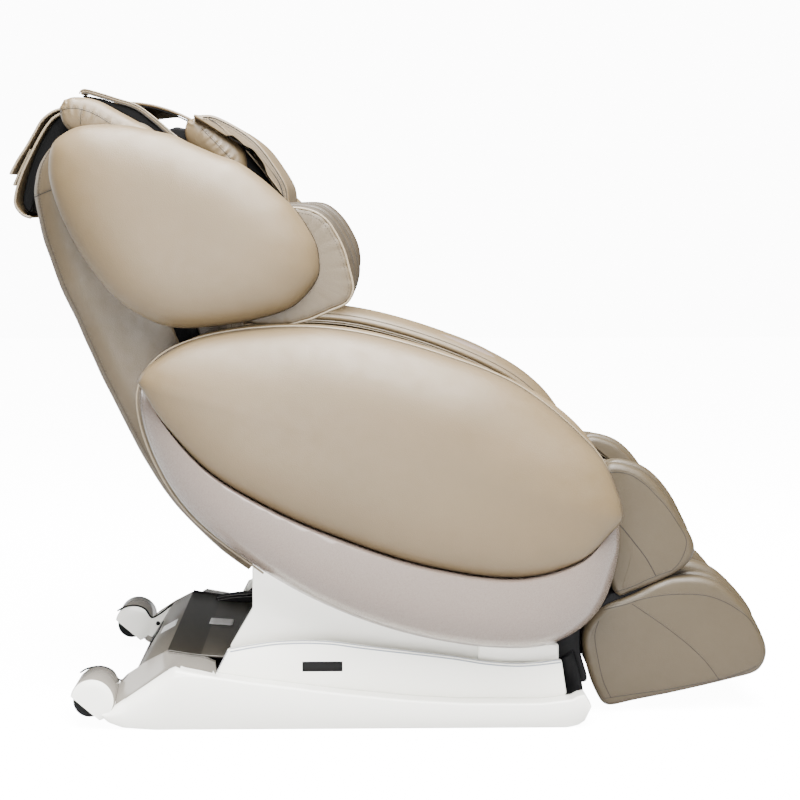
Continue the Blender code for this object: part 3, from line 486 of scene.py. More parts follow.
def leather(name, light, dark, roughness=0.46, grain=0.5, specular=0.5):
    """Smooth coated leather: cloudy tone, fine pebble grain, faint creases and uneven gloss."""
    made, tree, shader = new_material(name, light, roughness, specular=specular)
    cloud = texture(tree, "ShaderNodeTexNoise", 5.0, Detail=4.0, Roughness=0.55)
    tone = ramp(tree, cloud.outputs["Fac"], [(0.30, dark), (0.70, light)])
    tree.links.new(tone, shader.inputs["Base Color"])
    gloss = texture(tree, "ShaderNodeTexNoise", 38.0, Detail=3.0)
    tree.links.new(ramp(tree, gloss.outputs["Fac"], [(0.3, roughness - 0.05), (0.7, roughness + 0.07)]),
                   shader.inputs["Roughness"])
    pebble = texture(tree, "ShaderNodeTexVoronoi", 620.0, Randomness=0.9)
    fine = texture(tree, "ShaderNodeTexNoise", 1500.0, Detail=2.0)
    crease = texture(tree, "ShaderNodeTexNoise", 24.0, Detail=5.0, Distortion=0.6)
    bumped(tree, shader, [(crease.outputs["Fac"], 0.0012, 0.25), (pebble.outputs["Distance"], 0.0003, grain),
                          (fine.outputs["Fac"], 0.0001, 0.3)])
    return made


def moulded(name, light, dark, roughness, coat=0.0, metallic=0.0, grain=0.15, size=900.0, specular=0.5):
    """Moulded plastic: slight tone drift, fine texture and a soft clear coat where it is glossy."""
    made, tree, shader = new_material(name, light, roughness, metallic, coat, specular)
    drift = texture(tree, "ShaderNodeTexNoise", 3.5, Detail=2.0)
    tones = ramp(tree, drift.outputs["Fac"], [(0.35, dark), (0.65, light)])
    tree.links.new(tones, shader.inputs["Base Color"])
    speck = texture(tree, "ShaderNodeTexNoise", size, Detail=2.0)
    tree.links.new(ramp(tree, speck.outputs["Fac"], [(0.3, roughness * 0.85), (0.7, roughness * 1.15)]),
                   shader.inputs["Roughness"])
    bumped(tree, shader, [(speck.outputs["Fac"], 0.0001, grain)])
    return made


def brushed(name, color, roughness, metallic=1.0):
    """Turned or painted steel with fine lines or a light orange peel."""
    made, tree, shader = new_material(name, color, roughness, metallic)
    lines = texture(tree, "ShaderNodeTexNoise", 260.0, Detail=3.0, Roughness=0.7)
    dark = tuple(c * 0.75 for c in color)
    tree.links.new(ramp(tree, lines.outputs["Fac"], [(0.3, dark), (0.7, color)]), shader.inputs["Base Color"])
    tree.links.new(ramp(tree, lines.outputs["Fac"], [(0.2, roughness * 0.8), (0.8, roughness * 1.3)]),
                   shader.inputs["Roughness"])
    bumped(tree, shader, [(lines.outputs["Fac"], 0.0001, 0.3)])
    return made


LEATHER = leather("taupe_leather", (0.114, 0.080, 0.040), (0.102, 0.072, 0.036))
# A darker copy of the taupe leather for the legrest: painted shade.
SHADED_LEG_LEATHER = leather("legrest_leather_painted_shade", (0.052, 0.037, 0.018), (0.046, 0.033, 0.016), 0.50)
# A darker copy of the taupe leather for the back shell and shoulder wings: painted shade.
SHADE_LEATHER = leather("shell_leather_painted_shade", (0.080, 0.058, 0.031), (0.072, 0.052, 0.028), 0.50)
# A still darker copy of the leather for the wing's recessed band: painted shade.
SHADED_BAND_LEATHER = leather("band_leather_painted_shade", (0.040, 0.029, 0.017), (0.035, 0.026, 0.015), 0.50)
LEATHER_INNER = leather("inner_leather", (0.070, 0.054, 0.034), (0.060, 0.046, 0.029), 0.52, 0.6)
# Near-black leather for sheets set into recesses and gaps: painted shade standing in for the dark there.
SHADOW_BLACK_LEATHER = leather("shadow_black_leather", (0.0025, 0.0025, 0.0027), (0.0015, 0.0015, 0.0015), 0.60, 0.6, 0.07)
PIPING = leather("piping_leather", (0.19, 0.150, 0.098), (0.165, 0.130, 0.085), 0.42, 0.3)
# Grey for the calf edge piping, and for the painted highlight along the rear bellows' creases.
GREY_PIPING_AND_HIGHLIGHT = leather("grey_piping_and_crease_highlight", (0.062, 0.060, 0.058), (0.050, 0.048, 0.046), 0.45, 0.3)
SEAM = moulded("seam_shadow", (0.016, 0.012, 0.008), (0.010, 0.008, 0.005), 0.8)
THREAD = moulded("thread", (0.060, 0.045, 0.028), (0.048, 0.036, 0.022), 0.7)
PEARL = moulded("pearl_shell", (0.158, 0.122, 0.100), (0.149, 0.115, 0.094), 0.28, 0.5, 0.0, 0.05)
WHITE = moulded("white_plastic", (0.95, 0.94, 0.87), (0.93, 0.92, 0.85), 0.24, 0.5, 0.0, 0.04)
BROWN = moulded("brown_plastic", (0.030, 0.026, 0.018), (0.025, 0.021, 0.015), 0.36, 0.2, 0.35, 0.10)
# Lighter copies of the brown plastic for the rear cover's facets: painted light.
BROWN_LIT_FACET = moulded("brown_plastic_lit_facet", (0.078, 0.070, 0.055), (0.070, 0.062, 0.049),
                      0.38, 0.2, 0.35, 0.10)
BROWN_HIGHLIT_FACET = moulded("brown_plastic_highlit_facet", (0.150, 0.130, 0.100), (0.130, 0.112, 0.086),
                     0.36, 0.2, 0.35, 0.10)
WHITE_SHADE = moulded("white_plastic_shade", (0.21, 0.192, 0.165), (0.195, 0.180, 0.155),
                      0.24, 0.5, 0.0, 0.04)
# Grey for lines along the side cover's ledge: painted shadow.
LEDGE_SHADOW_GREY = moulded("ledge_shadow_grey", (0.30, 0.32, 0.36), (0.26, 0.28, 0.32), 0.4)
PAPER = moulded("label_paper", (0.80, 0.80, 0.79), (0.74, 0.74, 0.73), 0.6)
BLACK = moulded("black_plastic", (0.004, 0.004, 0.0045), (0.003, 0.003, 0.003),
                0.45, 0.0, 0.0, 0.12, specular=0.12)
RUBBER = moulded("black_rubber", (0.008, 0.008, 0.0085), (0.005, 0.005, 0.0055),
                 0.62, 0.0, 0.0, 0.2, specular=0.12)
PAINTED = brushed("painted_steel", (0.045, 0.045, 0.048), 0.42, 0.2)
STEEL = brushed("bright_steel", (0.58, 0.58, 0.60), 0.24)

SLOT_FINISH = {
    "leather": LEATHER, "leather_inner": LEATHER_INNER, "pearl_shell": PEARL, "white_plastic": WHITE,
    "brown_plastic": BROWN, "black_plastic": BLACK, "black_rubber": RUBBER, "painted_steel": PAINTED,
    "bright_steel": STEEL,
}
FINISH_SLOT = {finish: name for name, finish in SLOT_FINISH.items()}


def paint(obj, finish, slot=None):
    """Gives the piece one material; the slot it belongs to is worked out and then not used."""
    obj.data.materials.clear()
    obj.data.materials.append(finish)
    slot = slot or FINISH_SLOT.get(finish)
    return obj


def dress_frame():
    """Every CAD node gets its slot's finish; the ones that stay visible keep it."""
    for part in frame["record"]["subparts"]:
        node = frame["nodes"][part["node"]]
        node.data.materials.clear()
        node.data.materials.append(SLOT_FINISH[part["material_slot"]])


# ---------------------------------------------------------------- studio
def studio():
    data = bpy.data.cameras.new("camera")
    data.lens = 78.615
    data.sensor_width = 36
    camera = bpy.data.objects.new("camera", data)
    bpy.context.scene.collection.objects.link(camera)
    camera.location = (-0.063, -3.53, 0.9845)
    camera.rotation_euler = (math.radians(90 - 6.531), 0, math.radians(-1.148))
    bpy.context.scene.camera = camera
    bpy.context.scene.world = sky()
    lights = (
        ("top_light", (0.0, -0.6, 3.2), (0, 0, 0.6), 2.5, 640),
        ("front_light", (0.3, -2.4, 2.6), (0, 0, 0.5), 1.8, 300),
        ("low_light", (-0.6, -2.8, 0.4), (-0.1, -0.3, 0.1), 1.2, 75),
        ("rim_light", (-2.6, 1.4, 1.2), (-0.2, 0, 0.4), 1.4, 25),
    )
    for name, place, aim, size, power in lights:
        light = bpy.data.lights.new(name, "AREA")
        light.size = size
        light.energy = power
        lamp = bpy.data.objects.new(name, light)
        bpy.context.scene.collection.objects.link(lamp)
        lamp.location = place
        lamp.rotation_euler = (Vector(aim) - Vector(place)).to_track_quat("-Z", "Y").to_euler()
    floor = new_mesh("floor", [(-9, -6, -0.0005), (9, -6, -0.0005), (9, 9, -0.0005), (-9, 9, -0.0005)],
                     [(0, 1, 2, 3)])
    floor.data.materials.append(floor_paper())


def sky():
    """A white studio: bright behind the object, soft and even as light."""
    world = bpy.data.worlds.new("studio")
    world.use_nodes = True
    tree = world.node_tree
    soft = tree.nodes["Background"]
    soft.inputs["Color"].default_value = (1, 1, 1, 1)
    soft.inputs["Strength"].default_value = 0.22
    bright = tree.nodes.new("ShaderNodeBackground")
    bright.inputs["Strength"].default_value = 15.0
    split_by_sight(tree, soft, bright, tree.nodes["World Output"])
    return world


def split_by_sight(tree, unseen, seen, output):
    """Uses one shader for what is seen straight and the other for the light that it gives."""
    path = tree.nodes.new("ShaderNodeLightPath")
    mix = tree.nodes.new("ShaderNodeMixShader")
    tree.links.new(path.outputs["Is Camera Ray"], mix.inputs[0])
    tree.links.new(unseen.outputs[0], mix.inputs[1])
    tree.links.new(seen.outputs[0], mix.inputs[2])
    tree.links.new(mix.outputs[0], output.inputs[0])


def floor_paper():
    """Pale paper that keeps a soft contact shadow and gives only a little light back."""
    made = bpy.data.materials.new("floor_paper")
    made.use_nodes = True
    tree = made.node_tree
    dull = tree.nodes["Principled BSDF"]
    dull.inputs["Base Color"].default_value = (0.42, 0.42, 0.42, 1)
    dull.inputs["Roughness"].default_value = 0.9
    pale = tree.nodes.new("ShaderNodeBsdfDiffuse")
    pale.inputs["Color"].default_value = (0.9, 0.9, 0.9, 1)
    glow = tree.nodes.new("ShaderNodeEmission")
    glow.inputs["Strength"].default_value = 12.5
    both = tree.nodes.new("ShaderNodeAddShader")
    tree.links.new(pale.outputs[0], both.inputs[0])
    tree.links.new(glow.outputs[0], both.inputs[1])
    split_by_sight(tree, dull, both, tree.nodes["Material Output"])
    return made


# ---------------------------------------------------------------- arms
ARM_OUTLINE = [
    (-0.481, 0.621), (-0.453, 0.510), (-0.382, 0.401), (-0.252, 0.297), (-0.110, 0.221),
    (0.039, 0.172), (0.188, 0.149), (0.295, 0.159), (0.376, 0.219), (0.412, 0.320),
    (0.407, 0.415), (0.360, 0.528), (0.228, 0.641), (0.078, 0.704), (-0.087, 0.747),
    (-0.232, 0.755), (-0.367, 0.735), (-0.450, 0.692),
]
ARM_SEAM = [
    (-0.474, 0.660), (-0.430, 0.587), (-0.350, 0.498), (-0.240, 0.430), (-0.119, 0.376),
    (0.041, 0.322), (0.208, 0.297), (0.325, 0.324), (0.385, 0.378), (0.409, 0.405),
]
ARM_TOP = [
    (0.400, 0.450), (0.360, 0.528), (0.228, 0.641), (0.078, 0.704), (-0.087, 0.747),
    (-0.232, 0.755), (-0.367, 0.735), (-0.450, 0.692),
]
ARM_TOP_LINE = [
    (-0.415, 0.716), (-0.340, 0.742), (-0.232, 0.755), (-0.087, 0.747), (0.078, 0.704), (0.228, 0.641),
    (0.318, 0.578), (0.372, 0.508), (0.398, 0.450),
]
SLEEVE_FOLDS = -0.0145
FOLD_SHARE = 0.42
FOREARM_PAD = [
    (-0.150, 0.440), (-0.155, 0.540), (-0.110, 0.610), (0.050, 0.605), (0.190, 0.560),
    (0.290, 0.500), (0.335, 0.440), (0.280, 0.418), (0.060, 0.418),
]


def arm_pad_outline():
    """The outer cushion's edge: the seam against the shell below and the arm's own top line above."""
    low = curve(ARM_SEAM, 60)
    high = curve([ARM_SEAM[-1]] + ARM_TOP + [ARM_SEAM[0]], 60)[1:-1]
    return np.vstack([low, high])


def cushion_edge(edge):
    """How far out the cushion stands at its edge: well out along the seam, level with the lip on top."""
    line = curve(ARM_SEAM, 120)
    away = np.array([np.min(np.linalg.norm(line - p, axis=1)) for p in edge])
    return 0.3465 + 0.0500 * np.exp(-(away / 0.130) ** 2)


def arms():
    for label, side in SIDES.items():
        shell = pod("arm_shell_" + label, ARM_OUTLINE, side, 0.2765, 0.431, "seat", (5.0, 2.4), count=160,
                    centre=(-0.03, 0.44), belly=0.302, tuck=0.012)
        hollow = inset(arm_pad_outline(), -0.0010)
        tool = skin("recess", [side_ring(hollow, side * y) for y in (0.3445, 0.50)])
        carve(shell, tool)
        soften(shell, 0.0012)
        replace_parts(paint(shell, PEARL), "arm_shell_" + label)
        pad = pod("arm_cushion_" + label, inset(arm_pad_outline(), 0.0012), side, 0.3455, 0.447, "seat",
                  (2.9, 2.1), count=160, centre=(-0.02, 0.535), belly=cushion_edge)
        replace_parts(paint(pad, LEATHER), "arm_cushion_" + label)
        # A light welt along the arm's top, run on down the lower rear edge where it stands for the rim
        # highlight: piping and painted highlight.
        welt = [(0.398, 0.450)] + ARM_TOP[1:] + ARM_OUTLINE[:4]
        lip = tube("arm_lip_rim_highlight_" + label, track(welt, 0.0, side * 0.3460, count=160), 0.0019, "seat")
        paint(lip, PIPING, "pearl_shell")
        arm_sleeve(label, side)
        forearm(label, side)


def arm_sleeve(label, side):
    """The leather that wraps over the arm's top and down its inner face, with its seam and folded ridges."""
    line = curve(ARM_TOP_LINE, 110)
    out = left_of(line)
    out *= np.sign(out[:, 1:2])
    section = [
        (0.3440, -0.010), (0.3420, -0.001), (0.3320, 0.0035), (0.3150, 0.0035), (0.2950, 0.001),
        (0.2790, -0.005), (0.2705, -0.0115), (0.2685, -0.0145), (0.2660, -0.018), (0.2635, -0.027),
        (0.2630, -0.036), (0.2650, -0.0445), (0.2690, -0.0480), (0.2640, -0.0510), (0.2640, -0.0550),
        (0.2690, -0.0580),
        (0.2645, -0.0610), (0.2650, -0.0650), (0.2700, -0.0680), (0.2790, -0.0690), (0.3000, -0.050),
    ]
    section = [(y, d if d > SLEEVE_FOLDS else SLEEVE_FOLDS + (d - SLEEVE_FOLDS) * FOLD_SHARE)
               for y, d in section]
    rows = []
    for i, (p, n) in enumerate(zip(line, out)):
        ends = min(1.0, min(i, len(line) - 1 - i) / 9.0)
        full = math.sin(ends * math.pi / 2)
        deep, wide = 0.25 + 0.75 * full, 0.6 + 0.4 * full
        row = [(*(p + n * (d * deep)), side * (0.300 + (y - 0.300) * wide)) for y, d in section]
        rows.append([(x, y, z) for x, z, y in row])
    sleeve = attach(skin("arm_sleeve_" + label, rows), "seat")
    paint(sleeve, LEATHER)
    welt = line[6:-6] + out[6:-6] * -0.0142
    paint(tube("arm_sleeve_seam_" + label, side_ring(welt, side * 0.2686), 0.0009, "seat"), SEAM)
    thread = line[8:-8] + out[8:-8] * -0.0180
    paint(stitch_row("arm_sleeve_stitches_" + label, side_ring(thread, side * 0.2655), "seat"), THREAD)


def forearm(label, side):
    """Inside the arm: a near-black sheet, painted shade that shows as the forearm's recess, and the padded
    panel below.
    """
    # A near-black sheet over the inner face: painted shade for the forearm's recess.
    lining = slab("arm_recess_shadow_" + label, shrunk(spline(ARM_OUTLINE, 90), 0.955), side * 0.2735, side * 0.2762,
                  "seat", edge=0.001, crown=0.0, steps=2)
    paint(lining, SHADOW_BLACK_LEATHER, "leather_inner")
    pad = pod("arm_inner_pad_" + label, FOREARM_PAD, side, 0.2732, 0.2530, "seat", (4.0, 2.0), count=110)
    points = points_of(pad)
    waves = 0.0016 * np.sin((points[:, 2] - 0.42) * 2 * math.pi / 0.052) * (np.abs(points[:, 1]) < 0.262)
    points[:, 1] += side * waves
    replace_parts(paint(move_points(pad, points), LEATHER_INNER), "arm_inner_pad_" + label)


# ---------------------------------------------------------------- backrest
HEAD_SIDE = [
    (-0.580, 1.116), (-0.545, 1.120), (-0.522, 1.120), (-0.488, 1.118), (-0.454, 1.111), (-0.408, 1.101),
    (-0.381, 1.088), (-0.330, 1.066), (-0.293, 1.053), (-0.252, 1.025), (-0.215, 0.993), (-0.192, 0.970),
    (-0.170, 0.938), (-0.153, 0.906), (-0.147, 0.873), (-0.149, 0.846), (-0.166, 0.818), (-0.194, 0.792),
    (-0.231, 0.776), (-0.287, 0.762), (-0.343, 0.754), (-0.389, 0.751), (-0.426, 0.755), (-0.463, 0.769),
    (-0.505, 0.795), (-0.541, 0.832), (-0.577, 0.883), (-0.604, 0.933), (-0.623, 0.979), (-0.634, 1.021),
    (-0.635, 1.053), (-0.628, 1.084), (-0.608, 1.103),
]
WING_OUTER = [
    (-0.200, 0.970), (-0.174, 0.968), (-0.150, 0.960), (-0.130, 0.944), (-0.114, 0.919), (-0.101, 0.891),
    (-0.092, 0.858), (-0.086, 0.832), (-0.087, 0.814), (-0.099, 0.796), (-0.131, 0.782), (-0.163, 0.768),
    (-0.200, 0.758), (-0.270, 0.760), (-0.330, 0.790), (-0.340, 0.870), (-0.320, 0.935), (-0.260, 0.965),
]
WING_INNER = [
    (-0.205, 0.979), (-0.160, 0.979), (-0.135, 0.970), (-0.110, 0.947), (-0.091, 0.918), (-0.078, 0.889),
    (-0.073, 0.860), (-0.075, 0.839), (-0.083, 0.815), (-0.099, 0.797), (-0.131, 0.784), (-0.163, 0.771),
    (-0.200, 0.762), (-0.270, 0.763), (-0.330, 0.790), (-0.340, 0.870), (-0.325, 0.945), (-0.270, 0.975),
]


def head_sides():
    for label, side in SIDES.items():
        pad = pod("head_side_" + label, HEAD_SIDE, side, 0.2925, 0.400, "back", (3.6, 2.3), count=160,
                  centre=(-0.39, 0.935), belly=0.328, tuck=0.012)
        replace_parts(paint(pad, LEATHER), "head_side_" + label)
        wing(label, side)


def wing(label, side):
    """The shoulder pad in front of the head side: an outer face, then a wide band with two sewn seams."""
    outer, inner = spline(WING_OUTER, 240), spline(WING_INNER, 240)
    rows = [side_ring(shrunk(inset(outer, 0.006), f), side * y)
            for f, y in ((0.2, 0.3250), (0.5, 0.3250), (0.75, 0.3247), (0.90, 0.3243))]
    section = [
        (0.3238, 0, -0.0050), (0.3225, 0, -0.0018), (0.3195, 0.02, 0.0), (0.3130, 0.12, 0.0022),
        (0.3050, 0.26, 0.0030), (0.2970, 0.40, 0.0020), (0.2925, 0.48, -0.0004), (0.2905, 0.52, -0.0022),
        (0.2885, 0.55, -0.0004), (0.2830, 0.65, 0.0016), (0.2760, 0.78, 0.0016), (0.2705, 0.86, -0.0004),
        (0.2685, 0.90, -0.0022), (0.2665, 0.93, -0.0004), (0.2600, 1.0, 0.0010), (0.2500, 1.0, 0.0004),
        (0.2420, 1.0, -0.0030), (0.2380, 1.0, -0.0090), (0.2365, 1.0, -0.0180),
    ]
    for y, t, out in section:
        rows.append(side_ring(inset(outer + (inner - outer) * t, -out), side * y))
    rows += [side_ring(shrunk(inset(inner, 0.018), f), side * 0.2362) for f in (0.8, 0.5, 0.2)]
    pad = skin("shoulder_wing_" + label, rows)
    gathers(pad, side_ring(inset(outer, 0.004), side * 0.3240), 0.026, 0.0008, 0.014, seed=side)
    beside = shrunk(spline(HEAD_SIDE, 160), 1.004)
    keep_out = skin("keep_out", [side_ring(beside, side * y) for y in (0.2915, 0.42)])
    carve(pad, keep_out)
    pad.data.shade_smooth()
    pad.data.set_sharp_from_angle(angle=math.radians(50))
    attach(pad, "back")
    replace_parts(paint(pad, SHADE_LEATHER), "shoulder_wing_" + label)
    shown, shown_inner = curve(WING_OUTER[:13], 130), curve(WING_INNER[:13], 130)
    edge = side_ring(offset_path(shown, 0.0006), side * 0.3215)
    paint(tube("wing_piping_" + label, edge, 0.0023, "back"), PIPING)
    thread = side_ring(offset_path(shown, -0.0072), side * 0.3245)
    paint(stitch_row("wing_stitches_" + label, thread, "back"), THREAD)
    for i, (y, t) in enumerate(((0.2905, 0.52), (0.2685, 0.90))):
        route = side_ring(offset_path(shown * (1 - t) + shown_inner * t, -0.0016), side * y)
        paint(tube(f"wing_seam_{label}_{i}", route, 0.0017, "back"), SEAM)
    # The band's faces, set back under the head side, take the darker copy: painted shade.
    pad.data.materials.append(SHADED_BAND_LEATHER)
    for face in pad.data.polygons:
        face.material_index = int(abs(face.center.y) < 0.3185)


SHELL_REAR = [
    (-0.290, 0.273), (-0.343, 0.311), (-0.384, 0.350), (-0.419, 0.388), (-0.446, 0.426), (-0.468, 0.464),
    (-0.490, 0.502), (-0.509, 0.540), (-0.527, 0.577), (-0.545, 0.615), (-0.563, 0.652), (-0.579, 0.690),
    (-0.595, 0.727), (-0.609, 0.764), (-0.625, 0.801), (-0.639, 0.838), (-0.651, 0.875), (-0.663, 0.911),
    (-0.672, 0.955), (-0.678, 0.994), (-0.675, 1.022), (-0.669, 1.045), (-0.656, 1.068), (-0.640, 1.087),
]
SHELL_HALF = ((0.27, 0.38, 0.46, 0.74, 0.82, 1.20), (0.232, 0.238, 0.262, 0.268, 0.288, 0.288))
SHELL_DEPTH = ((0.27, 0.48, 0.60, 0.82, 1.00, 1.09), (0.045, 0.118, 0.165, 0.172, 0.140, 0.070))


CORNER = 0.050
WALL = 0.012


def shell_stations(count=96):
    """Points up the shell's rear line, each with its forward direction, half width and wall depth."""
    line = curve(SHELL_REAR, count)
    tangent = unit_rows(np.gradient(line, axis=0))
    steady = np.clip((line[:, 1] - 0.80) / 0.12, 0, 1)[:, None]
    tangent = unit_rows(tangent * (1 - steady) + UP_THE_BACK * steady)
    forward = np.column_stack([tangent[:, 1], -tangent[:, 0]])
    return line, forward, np.interp(line[:, 1], *SHELL_HALF), np.interp(line[:, 1], *SHELL_DEPTH)


def shell_outside(half, depth, corner):
    """The outer half section from the middle round the corner to the wall's lip, as (y, depth)."""
    out = [((half - corner) * k / 8, 0.0) for k in range(8)]
    for k in range(13):
        t = math.radians(7.5 * k)
        out.append((half - corner + corner * math.sin(t), corner - corner * math.cos(t)))
    return out + [(half, corner + (depth - 0.004 - corner) * k / 6) for k in range(1, 7)]


def back_shell():
    line, forward, halves, depths = shell_stations()
    rows = []
    for p, f, half, depth in zip(line, forward, halves, depths):
        corner = min(CORNER, depth * 0.8)
        outer = shell_outside(half, depth, corner)
        lip = [(half - 0.0012, depth - 0.0012), (half - 0.0050, depth), (half - 0.0090, depth - 0.0012)]
        inner = [(half - 0.0110, depth - 0.0045), (half - WALL, corner + 0.004)]
        within = corner - WALL
        for k in range(6, -1, -1):
            t = math.radians(15 * k)
            inner.append((half - corner + within * math.sin(t), corner - within * math.cos(t)))
        inner.append((0.0, WALL))
        ring = outer + lip + inner
        ring += [(-y, d) for y, d in reversed(ring[1:-1])]
        rows.append([(p[0] + f[0] * d, y, p[1] + f[1] * d) for y, d in ring])
    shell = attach(skin("back_shell", rows), "back")
    shell.data.set_sharp_from_angle(angle=math.radians(50))
    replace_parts(paint(shell, SHADE_LEATHER), "back_shell")
    shell_seams(line, forward, halves, depths)
    for label, side in SIDES.items():
        gusset(label, side, line, forward, halves, depths)


def shell_seams(line, forward, halves, depths):
    """The seam and stitches up each rear corner, and the ones across the shell's upper part."""
    def corner_line(side, angle, lift, first, last):
        route = []
        for i in range(first, last):
            corner = min(CORNER, depths[i] * 0.8)
            t = math.radians(angle)
            y = halves[i] - corner + (corner + lift) * math.sin(t)
            d = corner - (corner + lift) * math.cos(t)
            route.append((line[i][0] + forward[i][0] * d, side * y, line[i][1] + forward[i][1] * d))
        return route

    for label, side in SIDES.items():
        paint(tube("shell_seam_" + label, corner_line(side, 44, -0.0003, 2, 95), 0.0008, "back"), SEAM)
        for i, angle in enumerate((39.5, 48.5)):
            row = stitch_row(f"shell_stitches_{label}_{i}", corner_line(side, angle, 0.0002, 2, 95), "back")
            paint(row, THREAD)
    cross = int(np.argmin(np.abs(line[:, 1] - 0.992) + (line[:, 0] > -0.6)))
    half, depth = halves[cross], depths[cross]
    outer = shell_outside(half, depth, CORNER)
    loop = [(-y, d) for y, d in reversed(outer)] + outer[1:]
    p, f = line[cross], forward[cross]
    route = [(p[0] + f[0] * d, y, p[1] + f[1] * d) for y, d in loop]
    paint(tube("shell_cross_seam", route, 0.0009, "back"), SEAM)
    above = [(x - 0.0012, y * 1.0006, z + 0.0034) for x, y, z in route]
    paint(stitch_row("shell_cross_stitches", above, "back"), THREAD)


def gusset(label, side, line, forward, halves, depths):
    """The gusset that closes the gap between the rear shell's wall and the back cushion, in near-black
    leather: painted shade for the recess under the head side.
    """
    picks = np.linspace(int(np.argmin(np.abs(line[:, 1] - 0.46))), len(line) - 4, 40)
    rows = []
    for i, at in enumerate(picks):
        k = int(round(at))
        u = i / (len(picks) - 1)
        a = np.array([*(line[k] + forward[k] * (depths[k] - 0.004)), halves[k] - 0.006])
        b = np.array([*on_back(-0.16 + 0.60 * u, 0.200), 0.2370])
        front, back = [], []
        for v in np.linspace(0, 1, 9):
            p = a * (1 - v) + b * v
            p = p - np.array([0.10, -0.02, 1.0]) * 0.010 * math.sin(math.pi * v)
            front.append((p[0], side * p[2], p[1]))
            back.append((p[0] - 0.0010, side * (p[2] - 0.0035), p[1]))
        rows.append(front + back[::-1])
    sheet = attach(skin("back_gusset_" + label, rows), "back")
    # Near black: painted shade of the recess.
    paint(sheet, SHADOW_BLACK_LEATHER)


# ---------------------------------------------------------------- back and seat cushions
def channels(obj, along, across, depth, width, rows, columns):
    """Sinks sewn channels into a cushion's front.

    along(p) gives a point's place, its share of the depth and the way out; across(p) its distance sideways.
    """
    points = points_of(obj)
    for i, p in enumerate(points):
        s, share, normal = along(p)
        if share <= 0:
            continue
        sink = max((math.exp(-((s - row) / width) ** 2) for row in rows), default=0)
        off = abs(across(p))
        side = max((math.exp(-((off - column) / width) ** 2) for column in columns), default=0)
        points[i] = p - normal * depth * share * max(sink, side)
    return move_points(obj, points)


BACK_PAD = [
    (-0.210, 0.172), (0.100, 0.172), (0.430, 0.172), (0.470, 0.165), (0.482, 0.185), (0.470, 0.220),
    (0.442, 0.247), (0.320, 0.290), (0.200, 0.285), (0.000, 0.235), (-0.120, 0.218), (-0.210, 0.215),
]
ROLL = [
    (-0.631, 1.146), (-0.630, 1.160), (-0.621, 1.172), (-0.598, 1.1755), (-0.561, 1.167), (-0.526, 1.149),
    (-0.491, 1.130), (-0.455, 1.110), (-0.460, 1.085), (-0.500, 1.075), (-0.560, 1.085), (-0.600, 1.105),
    (-0.625, 1.125),
]
ROLL_SEAM = [
    (-0.629, 1.143), (-0.622, 1.151), (-0.604, 1.1535), (-0.586, 1.151), (-0.562, 1.142), (-0.534, 1.125),
    (-0.505, 1.108),
]


ROLLER_REACH = 0.1800
ROLL_CROSS = [(-0.588, 1.151), (-0.589, 1.138), (-0.590, 1.124)]


def back_cushions():
    """The ribbed cushion down the back, kept clear of the massage rollers, and the roll above it."""
    outline = [on_back(s, d) for s, d in BACK_PAD]
    pad = slab("back_cushion", outline, -0.2330, 0.2330, "back", edge=0.018, crown=0.003, count=150,
               across=36, puff=0.006)
    ahead = np.array([UP_THE_BACK[1], 0, -UP_THE_BACK[0]])
    points = points_of(pad)
    depth = (points - np.array([BACK_START[0], 0, BACK_START[1]])) @ ahead
    flat = np.where(depth < 0.200, np.maximum(depth, ROLLER_REACH), depth)
    move_points(pad, points + np.outer(flat - depth, ahead))

    def place(p):
        x, z = p[0] - BACK_START[0], p[2] - BACK_START[1]
        s = x * UP_THE_BACK[0] + z * UP_THE_BACK[1]
        d = x * UP_THE_BACK[1] - z * UP_THE_BACK[0]
        return s, min(1.0, max(0.0, (d - 0.192) / 0.016)), ahead

    channels(pad, place, lambda p: p[1], 0.008, 0.006, [-0.15 + 0.075 * k for k in range(8)], [0.118])
    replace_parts(paint(pad, LEATHER_INNER), "back_cushion")
    roll = slab("back_roll", ROLL, -0.245, 0.245, "back", edge=0.013, crown=0.004, count=150, across=30,
                puff=0.002)
    for side in (-1, 1):
        gathers(roll, side_ring(curve(ROLL_SEAM, 80), side * 0.244), 0.017, 0.0010, 0.010, seed=side)
        gathers(roll, side_ring(curve(ROLL[:4], 30), side * 0.236), 0.019, 0.0014, 0.012, seed=side)
    paint(roll, LEATHER)
    for label, side in SIDES.items():
        seam("roll_seam_" + label, roll, ROLL_SEAM, side, "back", stitches=(0.003,), count=60)
        seam("roll_cross_seam_" + label, roll, ROLL_CROSS, side, "back", stitches=(-0.003, 0.003), count=16)


FLAP_OUTER = [
    (-0.632, 1.158), (-0.655, 1.150), (-0.675, 1.134), (-0.690, 1.110), (-0.705, 1.085), (-0.722, 1.060),
    (-0.737, 1.033),
]
FLAP_UNDER = [
    (-0.632, 1.150), (-0.652, 1.140), (-0.668, 1.122), (-0.684, 1.096), (-0.700, 1.066), (-0.715, 1.035),
    (-0.727, 1.000), (-0.729, 0.975), (-0.716, 0.957), (-0.700, 0.951),
]
FLAP_TAB = [(-0.700, 1.080), (-0.718, 1.045), (-0.7335, 1.012)]


